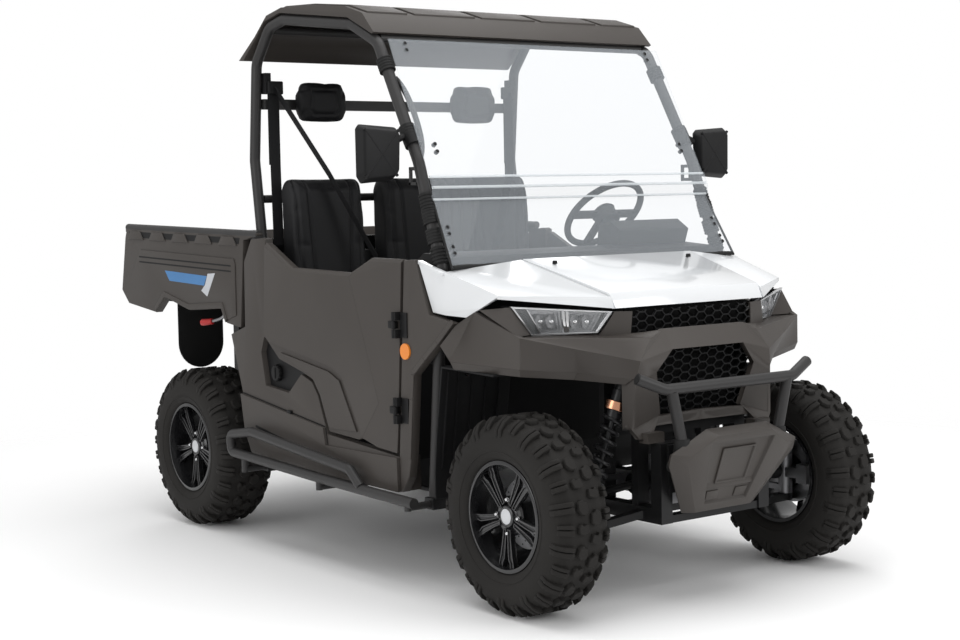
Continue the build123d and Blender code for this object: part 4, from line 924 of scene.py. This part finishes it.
addBlock(bm, cap + Vector((0.018, -0.004, -0.022)), cap + Vector((0.0235, 0.004, 0.022)))
latch = onSide(1, 1322, 540, 727)
addBlock(bm, latch + Vector((-0.004, -0.014, -0.016)), latch + Vector((0.009, 0.014, 0.016)))
roundEdges(bm, 0.002, sharp=60)
bothSides(bm)
addPiece("filler_and_latch", bm, "blackPlastic")

# chamfer band along the front arch edge
bm = bmesh.new()
archBand = [(262, 945), (351, 870), (429, 809), (496, 755), (505, 668), (524, 456)]
for (station, height), (nextStation, nextHeight) in zip(archBand, archBand[1:]):
    run = Vector((nextStation - station, nextHeight - height)).normalized()
    aside = Vector((-run.y, run.x)) * -16
    inner = [(nextStation - aside.x, nextHeight - aside.y), (station - aside.x, height - aside.y)]
    corners = sideRow([(station, height), (nextStation, nextHeight)], 727) + sideRow(inner, 730)
    addPlate(bm, corners, (-0.008, 0, 0))
bothSides(bm)
roundEdges(bm, 0.0015, segments=1, sharp=40)
addPiece("arch_bands", bm, "darkPlastic")
print("doors and side panels made")

# cargo bed: pad, ribs under the rail, grooves and the band behind the ribs as black strips of painted shade,
# stripes
bed = {"outer": 720, "padLift": 5, "slotLift": 0.7, "ribLift": 7, "flareLift": 9, "skin": 0.8}
bm = bmesh.new()
padOutline = [(2668, 1010), (2560, 1150), (1740, 1128), (1728, 1105), (1728, 900), (1800, 880), (1832, 938),
    (2130, 922), (2345, 968), (2430, 905)]
addPlate(bm, sideRow(padOutline, bed["outer"] + bed["padLift"]), (-0.007, 0, 0))
for step in range(5):                           # raised ribs between the notches
    front = 1700 + step * 205
    outline = [(front + 40, 1216 + 3.3 * step), (front + 130, 1218 + 3.3 * step),
        (front + 160, 1182 + 3.3 * step), (front + 10, 1179 + 3.3 * step)]
    addPlate(bm, sideRow(outline, bed["outer"] + bed["ribLift"]), (-0.009, 0, 0))
lowerFlare = [(1811, 868), (1845, 925), (2122, 906), (2340, 952), (2431, 882), (2431, 905), (2345, 975),
    (2125, 930), (1836, 950), (1800, 886)]
addPlate(bm, sideRow(lowerFlare, bed["outer"] + bed["flareLift"]), (-0.012, 0, 0))
roundEdges(bm, 0.003, sharp=35)
bothSides(bm)
addPiece("bed_pads", bm, "darkPlastic", "bed", angle=25)
# black strips laid on the pad for the grooves, and a black band under the rail behind the ribs: painted shade,
# not cut in
bm = bmesh.new()
for low, high in ((1094, 1100), (1116, 1122)):
    outline = [(2570, low), (2570, high), (1760, high - 20), (1760, low - 20)]
    addPlate(bm, sideRow(outline, bed["outer"] + bed["padLift"] + bed["slotLift"]), (-0.003, 0, 0))
addPlate(bm, sideRow([(2672, 1228), (1690, 1212), (1698, 1188), (2668, 1202)], bed["outer"] + bed["skin"]),
    (-0.003, 0, 0))
bothSides(bm)
addPiece("bed_groove_shade", bm, "blackPlastic", "bed")
stripes = {  # generic slanted stripes: station and height corners
    "blueStripe": [(2330, 1065), (1960, 1052), (1985, 1012), (2290, 1022)],
    "silverStripe": [(1952, 1062), (1890, 1066), (1960, 968), (2010, 990), (1976, 1016)]}
for stripe, outline in stripes.items():
    bm = bmesh.new()
    addPlate(bm, sideRow(outline, bed["outer"] + bed["padLift"] + bed["skin"]), (-0.002, 0, 0))
    bothSides(bm)
    addPiece("bed_" + stripe, bm, stripe, "bed")
# rail cap along the bed's sides, and the pale part of each tail lamp
bm = bmesh.new()
addTube(bm, [onSide(1, 2704, 1245, 705), onSide(1, 1562, 1226, 705)], 0.0165, sides=5, smooth=False)
for share in (0.02, 0.98):
    foot = onSide(1, 2700 + (1566 - 2700) * share, 1243 + (1224 - 1243) * share, 703)
    addBlock(bm, foot - Vector((0.012, 0.02, 0.03)), foot + Vector((0.010, 0.02, 0.004)))
bothSides(bm)
addPiece("bed_rails", bm, "cagePaint", "bed", angle=50)
bm = bmesh.new()
addBlock(bm, onSide(1, 2699, 1088, 642), onSide(1, 2716.5, 1176, 688))
addBlock(bm, onSide(1, 2712, 1004, 652), onSide(1, 2717, 1030, 688))
roundEdges(bm, 0.003, sharp=50)
bothSides(bm)
addPiece("lamp_whites", bm, "paleCap", "bed", slot="lamp_lens")
# tilt lever with its grip
bm = bmesh.new()
addTube(bm, [place(-640, 1900, 925), place(-668, 1905, 900), place(-684, 1925, 872), place(-700, 1985, 862)],
    0.007)
addPiece("tilt_lever", bm, "plainSteel", "bed", angle=60)
bm = bmesh.new()
addRod(bm, place(-697, 1972, 863), place(-712, 2035, 856), 0.0125, segments=20, endRadius=0.014)
roundEdges(bm, 0.003, sharp=50)
addPiece("lever_grip", bm, "redGrip", "bed")
print("bed dressed")

# roof: base lowered, raised pads up to its full height
roof = {"drop": 0.008, "padDepth": 0.009}
roofTop = [(779, 1954), (851, 2037), (961, 2069), (1200, 2095), (1409, 2105), (1520, 2084), (1612, 2010),
    (1742, 1916)]
bm = nodeCopy("roof_panel")
for vert in bm.verts:
    for station, height in roofTop[1:-1]:
        if (vert.co - place(vert.co.x * 1000, station, height)).length < 0.001:
            vert.co.z -= roof["drop"]
            break
roundEdges(bm, 0.004, sharp=18)
addPiece("roof_base", bm, "darkPlastic", replaced=["roof_panel"])
bm = bmesh.new()
padColumns = [(-650, -470), (-440, -160), (-130, 130), (160, 440), (470, 650)]
for low, high in padColumns:
    for (station, height), (nextStation, nextHeight) in zip(roofTop[1:-1], roofTop[2:-1]):
        corners = [place(low, station, height - 1), place(high, station, height - 1),
            place(high, nextStation, nextHeight - 1), place(low, nextStation, nextHeight - 1)]
        addPlate(bm, corners, (0, 0, -roof["padDepth"]))
weld(bm, 1e-5)
inside = [face for face in bm.faces if sum(1 for edge in face.edges if len(edge.link_faces) > 2) >= 2
    and abs(face.normal.y) > 0.9]
bmesh.ops.delete(bm, geom=inside, context="FACES")
roundEdges(bm, 0.004, sharp=40)
addPiece("roof_pads", bm, "darkPlastic", angle=25)

# cage: ribbed sleeves, tabs, grab handle
pillar = [Vector((665, 402, 1120)), Vector((656, 540, 1490)), Vector((650, 783, 1919))]


def onPillar(section, share):
    spot = pillar[section].lerp(pillar[section + 1], share)
    return place(*spot)


bm = bmesh.new()
for sleeves, pitch, halfRib, radius in ((((0, 0.30), (0, 0.48), (1, 0.22), (1, 0.80)), 0.011, 0.0036, 0.0298),
        (((0, 0.62), (0, 0.12)), 0.012, 0.004, 0.0275)):
    for section, share in sleeves:
        run = (onPillar(section, 1) - onPillar(section, 0)).normalized()
        middle = onPillar(section, share)
        for step in (-2, -1, 0, 1, 2):
            addRod(bm, middle + run * (step * pitch - halfRib), middle + run * (step * pitch + halfRib), radius,
                segments=32)
        if pitch > 0.011:                       # the longer sleeves have a core
            addRod(bm, middle - run * 0.032, middle + run * 0.032, 0.0245, segments=32)
roundEdges(bm, 0.0016, segments=1, sharp=50)
bothSides(bm)
addPiece("sleeve_ribs", bm, "softRubber", angle=35)
bm = bmesh.new()
tab = onPillar(0, 0.86)
tabWall = (-0.006, 0.003)
for lowY, highY, lowZ, highZ in ((-0.012, 0.075, -0.030, -0.018), (-0.012, 0.075, 0.022, 0.034),
        (0.062, 0.075, -0.030, 0.034), (0.014, 0.032, -0.030, 0.034)):
    addBlock(bm, tab + Vector((tabWall[0], lowY, lowZ)), tab + Vector((tabWall[1], highY, highZ)))
roundEdges(bm, 0.0015, segments=1, sharp=50)
bothSides(bm)
handle = [place(-632, 560, 1510), place(-608, 575, 1545), place(-600, 640, 1668), place(-612, 690, 1760),
    place(-634, 706, 1788)]
addTube(bm, handle, 0.0105, sides=3)
addPiece("cage_tabs", bm, "cagePaint", angle=40)

# mirrors: tapered housings with a glass and a cross of ribs on the back
bm = bmesh.new()
backPlane, frontPlane = 588, 550
outerFace = [(722, 1612), (876, 1622), (890, 1604), (889, 1440), (872, 1414), (742, 1424), (712, 1448),
    (706, 1596)]
corners = [onSide(1, backPlane, height, x) for x, height in outerFace]
made = addPlate(bm, corners, (0, (frontPlane - backPlane) / 1000, 0))
scaleFoot(bm, made[len(outerFace):], (0.80, 1, 0.82))
roundEdges(bm, 0.007, segments=3, sharp=25)
for first, second in (((728, 1600), (868, 1436)), ((870, 1604), (736, 1442))):
    addRod(bm, onSide(1, 554, first[1], first[0]), onSide(1, 554, second[1], second[0]), 0.0055, segments=10)
addTube(bm, [onSide(1, 592, 1580, 655), onSide(1, 594, 1580, 690), onSide(1, 586, 1560, 722)], 0.012)
addRod(bm, onSide(1, 570, 1546, 655), onSide(1, 612, 1612, 655), 0.030, segments=24)
bothSides(bm)
addPiece("mirror_housings", bm, "blackPlastic", angle=35, replaced=["mirrors"])
bm = bmesh.new()
glassFace = [(724, 1602), (868, 1611), (879, 1596), (878, 1446), (864, 1425), (746, 1434), (722, 1454),
    (717, 1590)]
addPlate(bm, [onSide(1, 589.4, height, x) for x, height in glassFace], (0, -0.003, 0))
bothSides(bm)
addPiece("mirror_glasses", bm, "chromeBright")
print("cage, roof and mirrors made")

# shocks: body, coil, collar
shockTable = [(0, 432, 269.5, 292, 745), (2106, 440, 269.5, 300, 790)]
shock = {"turns": 9, "wire": 0.0062, "coilRadius": 0.031, "coilFrom": 0.155, "coilTo": 0.80}
black, copper, coils = bmesh.new(), bmesh.new(), bmesh.new()
for axle, footX, footHeight, headX, headHeight in shockTable:
    foot, top = place(footX, axle - 48, footHeight + 0.3), place(headX, axle - 100, headHeight)
    run = top - foot
    turned = run.to_track_quat("Z", "Y").to_matrix()
    for low, high, radius, target in ((0.02, 1.0, 0.0095, black), (0.0, 0.06, 0.021, black),
            (0.06, 0.40, 0.021, black), (0.12, 0.15, 0.036, black), (0.93, 1.0, 0.021, black),
            (0.74, 0.94, 0.026, black), (0.80, 0.86, 0.040, copper)):
        addRod(target, foot + run * low, foot + run * high, radius, segments=28)
    helix = []
    for step in range(shock["turns"] * 10 + 1):
        share = step / (shock["turns"] * 10)
        turn = 2 * pi * shock["turns"] * share
        helix.append(foot + run * (shock["coilFrom"] + (shock["coilTo"] - shock["coilFrom"]) * share)
            + turned @ Vector((cos(turn), sin(turn), 0)) * shock["coilRadius"])
    addTube(coils, helix, shock["wire"], sides=2)
for bm, name, material in ((black, "shock_bodies", "springPaint"), (copper, "shock_collars", "copperBright"),
        (coils, "shock_coils", "springPaint")):
    if bm is not coils:
        roundEdges(bm, 0.0015, segments=1, sharp=50)
    bothSides(bm)
    addPiece(name, bm, material, angle=40, replaced=["shock_absorbers"])
print("shocks made")

# bumper cover with its recess pressed in, and a near-black box behind the grilles as painted shade
cover = {"top": -380, "lean": 0.409, "wall": 0.016}


def coverStation(height):
    return cover["top"] + (573 - height) * cover["lean"]


def acrossFrom(spot, hand=-1):
    return Vector((hand * spot.x, spot.y, spot.z))


def coverFace(spots, hand=1):
    bm.faces.new([bm.verts.new(acrossFrom(spot, hand)) for spot in spots])


bm = bmesh.new()
rim = [place(x, coverStation(height), height) for x, height in ((125, 573), (228, 512), (228, 476), (130, 304))]
outer = [place(141, -334, 594), place(294, -330, 524), place(294, -318, 484), place(170, -245, 304)]
coverFace(rim + [acrossFrom(spot) for spot in reversed(rim)])
for hand in (-1, 1):
    for low in range(3):
        coverFace([rim[low], rim[low + 1], outer[low + 1], outer[low]], hand)
coverFace([rim[0], outer[0], acrossFrom(outer[0]), acrossFrom(rim[0])])
weld(bm, 2e-5)
faceOut(bm)
if sum(face.normal.y for face in bm.faces) > 0:
    bmesh.ops.reverse_faces(bm, faces=bm.faces)
bm.normal_update()
bmesh.ops.solidify(bm, geom=allGeometry(bm), thickness=cover["wall"])
faceOut(bm)
recess = {"top": 0.548, "foot": 0.330, "topHalf": 0.150, "footHalf": 0.098, "depth": 0.011, "border": 0.006}
for hand in (-1, 1):
    slant = Vector((hand * (recess["top"] - recess["foot"]), 0, recess["footHalf"] - recess["topHalf"]))
    slant.normalize()
    bmesh.ops.bisect_plane(bm, geom=allGeometry(bm), plane_co=(hand * recess["topHalf"], 0, recess["top"]),
        plane_no=slant, dist=1e-6)
for height in (recess["top"], recess["foot"]):
    bmesh.ops.bisect_plane(bm, geom=allGeometry(bm), plane_co=(0, 0, height), plane_no=(0, 0, 1), dist=1e-6)
bm.normal_update()
pressed = []
for face in bm.faces:
    spot = face.calc_center_median()
    share = (recess["top"] - spot.z) / (recess["top"] - recess["foot"])
    limit = recess["topHalf"] + (recess["footHalf"] - recess["topHalf"]) * share
    if 0 < share < 1 and abs(spot.x) < limit and face.normal.y < -0.3 and spot.y < place(0, -262, 0).y:
        pressed.append(face)
bmesh.ops.inset_region(bm, faces=pressed, thickness=recess["border"], depth=-recess["depth"])
roundEdges(bm, 0.003, sharp=24)
addPiece("bumper_cover_skin", bm, "darkPlastic", replaced=["bumper_cover"])
bm = bmesh.new()
addPanel(bm, [(-78, -355, 524), (78, -355, 524), (72, -303, 398), (-72, -303, 398)], (0, 0.012, 0.0))
faceOut(bm)
bm.normal_update()
faces = [max(bm.faces, key=lambda face: -face.normal.y * face.calc_area())]
bmesh.ops.inset_region(bm, faces=faces, thickness=0.009, depth=0)
bmesh.ops.inset_region(bm, faces=faces, thickness=0.003, depth=-0.007)
for low, high in ((-96, -40), (40, 96)):
    addPanel(bm, [(low, -292, 374), (high, -292, 374), (high * 0.97, -279, 342), (low * 0.97, -279, 342)],
        (0, 0.008, 0.002))
addBlock(bm, place(-165, -300, 385), place(165, -230, 405))
roundEdges(bm, 0.0025, sharp=35)
addPiece("plate_holder", bm, "darkPlastic")
# near-black walls and back with almost no specular behind the grilles: painted shade seen through the grille
# openings
bm = bmesh.new()
for hand in (-1, 1):
    addPanel(bm, [(hand * 238, -150, 850), (hand * 238, -90, 850), (hand * 238, -90, 600),
        (hand * 238, -150, 600)], (hand * 0.004, 0, 0))
    addPanel(bm, [(hand * 204, -133, 860), (hand * 240, -133, 860), (hand * 240, -133, 600),
        (hand * 204, -133, 600)], (0, 0.004, 0))
addPanel(bm, [(-206, -129.6, 862), (206, -129.6, 862), (206, -129.6, 598), (-206, -129.6, 598)],
    (0, 0.001, 0))
addPanel(bm, [(-290, -104, 985), (290, -104, 985), (290, -104, 862), (-290, -104, 862)], (0, 0.004, 0))
addPiece("grille_shade_box", bm, "shadeBlack")

# arch liners drawn back under the fascia, with ribs down the wall
bm = nodeCopy("arch_liners")
for vert in bm.verts:
    if vert.co.y < place(0, -10, 0).y:
        vert.co.y = place(0, 96, 0).y
roundEdges(bm, 0.002, sharp=24)
for x in (440, 500, 560, 620, 665):
    for hand in (-1, 1):
        addPanel(bm, [(hand * x, 424, 430), (hand * x, 402, 560), (hand * x, 374, 770), (hand * x, 386, 772),
            (hand * x, 416, 562), (hand * x, 432, 430)], (0.006, 0, 0))
faceOut(bm)
addPiece("liner_skin", bm, "blackPlastic", replaced=["arch_liners"])
print("front end dressed")

# mud flaps with round ends
bm = bmesh.new()
flap = {"half": 0.108, "top": 930, "middle": 745, "station": 2330, "thickness": 0.006}
turns = [pi + pi * step / 20 for step in range(21)]
lowerEdge = [place(560, flap["station"], flap["middle"]) + Vector((flap["half"] * cos(turn), 0,
    flap["half"] * sin(turn))) for turn in turns]
addPlate(bm, lowerEdge + [place(668, flap["station"], flap["top"]), place(452, flap["station"], flap["top"])],
    (0, flap["thickness"], 0))
faceOut(bm)
bothSides(bm)
addPiece("flap_sheets", bm, "softRubber", "bed", replaced=["mud_flaps"])

# hinges: fixed leaves with their barrels, and the door's own leaf
bm = bmesh.new()
for height in hinge["heights"]:
    for low, high in ((-46, -16), (16, 46)):
        barrel = [onSide(1, hinge["station"], height + end, hinge["x"]) for end in (low, high)]
        addRod(bm, *barrel, hinge["radius"], segments=20)
        addBlock(bm, onSide(1, 566, height + low, 727), onSide(1, 580, height + high, 752))
    addBlock(bm, onSide(1, 528, height - 44, 724), onSide(1, 570, height + 44, 730))
roundEdges(bm, 0.0015, sharp=50)
bothSides(bm)
addPiece("hinge_leaves", bm, "blackPlastic", slot="frame_black", replaced=["door_hinges"])

# tailgate: pads and a latch handle; ribs along the bed's floor
bm = bmesh.new()
for low, high in ((-600, -215), (-185, 185), (215, 600)):
    addPanel(bm, [(low, 2733, 1180), (high, 2733, 1180), (high - 15, 2733, 985), (low + 15, 2733, 985)],
        (0, -0.005, 0))
roundEdges(bm, 0.002, sharp=40)
addPiece("gate_pads", bm, "darkPlastic", "gate")
bm = bmesh.new()
addBlock(bm, place(-90, 2732, 1120), place(90, 2738, 1160))
addTube(bm, [place(-62, 2736, 1132), place(-56, 2750, 1132), place(56, 2750, 1132), place(62, 2736, 1132)],
    0.006, smooth=False)
roundEdges(bm, 0.002, sharp=60)
addPiece("gate_handle", bm, "blackPlastic", "gate")
bm = bmesh.new()
for step in range(-6, 7):
    addBlock(bm, place(step * 96 - 20, 1740, 948), place(step * 96 + 20, 2680, 955))
roundEdges(bm, 0.003, sharp=50)
addPiece("bed_floor_ribs", bm, "blackPlastic", "bed")

# fascia: lip along its lower edge, wedge behind each lamp, bolts in the arch
bm = bmesh.new()
for corners in (
        [(720, 291, 814), (660, -8, 805), (652, 0, 780), (706, 291, 788)],
        [(660, -8, 805), (470, -70, 785), (468, -54, 760), (652, 0, 780)],
        [(470, -70, 785), (324, -184, 762), (340, -160, 742), (468, -54, 760)],
        [(567, 46, 909), (643, 58, 1004), (688, 168, 992), (656, 6, 912)]):
    for hand in (-1, 1):
        addPanel(bm, [(hand * x, station, height) for x, station, height in corners],
            (hand * -0.005, 0.004, 0))
roundEdges(bm, 0.0015, segments=1, sharp=40)
addPiece("fascia_lips", bm, "darkPlastic", angle=24)
bm = bmesh.new()
for x, station, height in ((590, 376, 756), (500, 378, 752), (430, 380, 748)):
    for hand in (-1, 1):
        spot = place(hand * x, station, height)
        addRod(bm, spot, spot - Vector((0, 0.006, 0)), 0.007, segments=12, endRadius=0.006)
addPiece("liner_bolts", bm, "chromeBright")

# dash: instrument, glove box lid, gear lever; wheel boss
bm = bmesh.new()
addPanel(bm, [(290, 627, 1240), (478, 627, 1240), (478, 641, 1152), (290, 641, 1152)], (0, -0.010, 0.001))
roundEdges(bm, 0.003, sharp=40)
addPiece("instrument", bm, "wheelBlack", slot="black_plastic")
bm = bmesh.new()
addPanel(bm, [(-545, 652, 1112), (-175, 652, 1112), (-175, 660, 1066), (-545, 660, 1066)], (0, -0.012, 0))
addRod(bm, place(60, 650, 1085), place(60, 742, 1128), 0.006, segments=12)
ball = bmesh.ops.create_uvsphere(bm, u_segments=20, v_segments=12, radius=0.022)["verts"]
bmesh.ops.translate(bm, vec=place(60, 746, 1130), verts=ball)
for x in (-80, 0, 160):
    addRod(bm, place(x, 640, 1140), place(x, 652, 1146), 0.016, segments=20)
roundEdges(bm, 0.0015, sharp=60)
addPiece("dash_fittings", bm, "darkPlastic", angle=40, slot="black_plastic")
bm = bmesh.new()
axis = Vector((0, 0.72, 0.694))
boss = place(384, 750, 1285)
addRod(bm, boss + axis * 0.004, boss + axis * 0.020, 0.052, segments=40, endRadius=0.040)
roundEdges(bm, 0.005, segments=3, sharp=30)
addPiece("wheel_boss", bm, "blackPlastic", "steering", angle=40)
print("small fittings made")

# nodes whose own form is kept, with rounded edges: material and rounding
roundedNodes = {
    "floor_tub": ("blackPlastic", 0.004),
    "dashboard": ("blackPlastic", 0.006),
    "front_side_panels": ("darkPlastic", 0.004),
    "rear_side_panels": ("darkPlastic", 0.004),
    "front_fascia": ("darkPlastic", 0.004),
    "fender_covers": ("glossWhite", 0.004),
    "hood_panel": ("glossWhite", 0.003),
    "bed_tub": ("blackPlastic", 0.003),
    "bed_side_panels": ("darkPlastic", 0.005),
    "tailgate": ("darkPlastic", 0.004),
}
for node, (material, width) in roundedNodes.items():
    softenedCopy(node, material, width)

# nodes that keep their own mesh
plainNodes = {
    "frame": "framePaint", "shock_towers": "framePaint", "cross_members": "framePaint",
    "powertrain": "castMetal", "radiator": "blackPlastic", "muffler": "plainSteel",
    "tow_hitch": "framePaint", "suspension_arms": "framePaint",
    "drive_shafts": "framePaint", "rear_knuckles": "castMetal", "knuckle_front_right": "castMetal",
    "knuckle_front_left": "castMetal", "steering_rack": "plainSteel", "steering_column": "blackPlastic",
    "steering_wheel": "softRubber",
    "bumper_bar": "cagePaint", "side_markers": "amberLens",
    "cage_right": "cagePaint", "cage_left": "cagePaint", "cage_crossbars": "cagePaint",
    "windscreen_lower": "clearSheet", "windscreen_upper": "clearSheet", "pillar_clamps": "softRubber",
    "seat_belts": "webbing", "side_steps": "cagePaint", "tail_lamps": "redCover",
}
for node, material in plainNodes.items():
    meshData = nodes[node].data
    meshData.materials.clear()
    meshData.materials.append(materials[material])
print("nodes dressed")
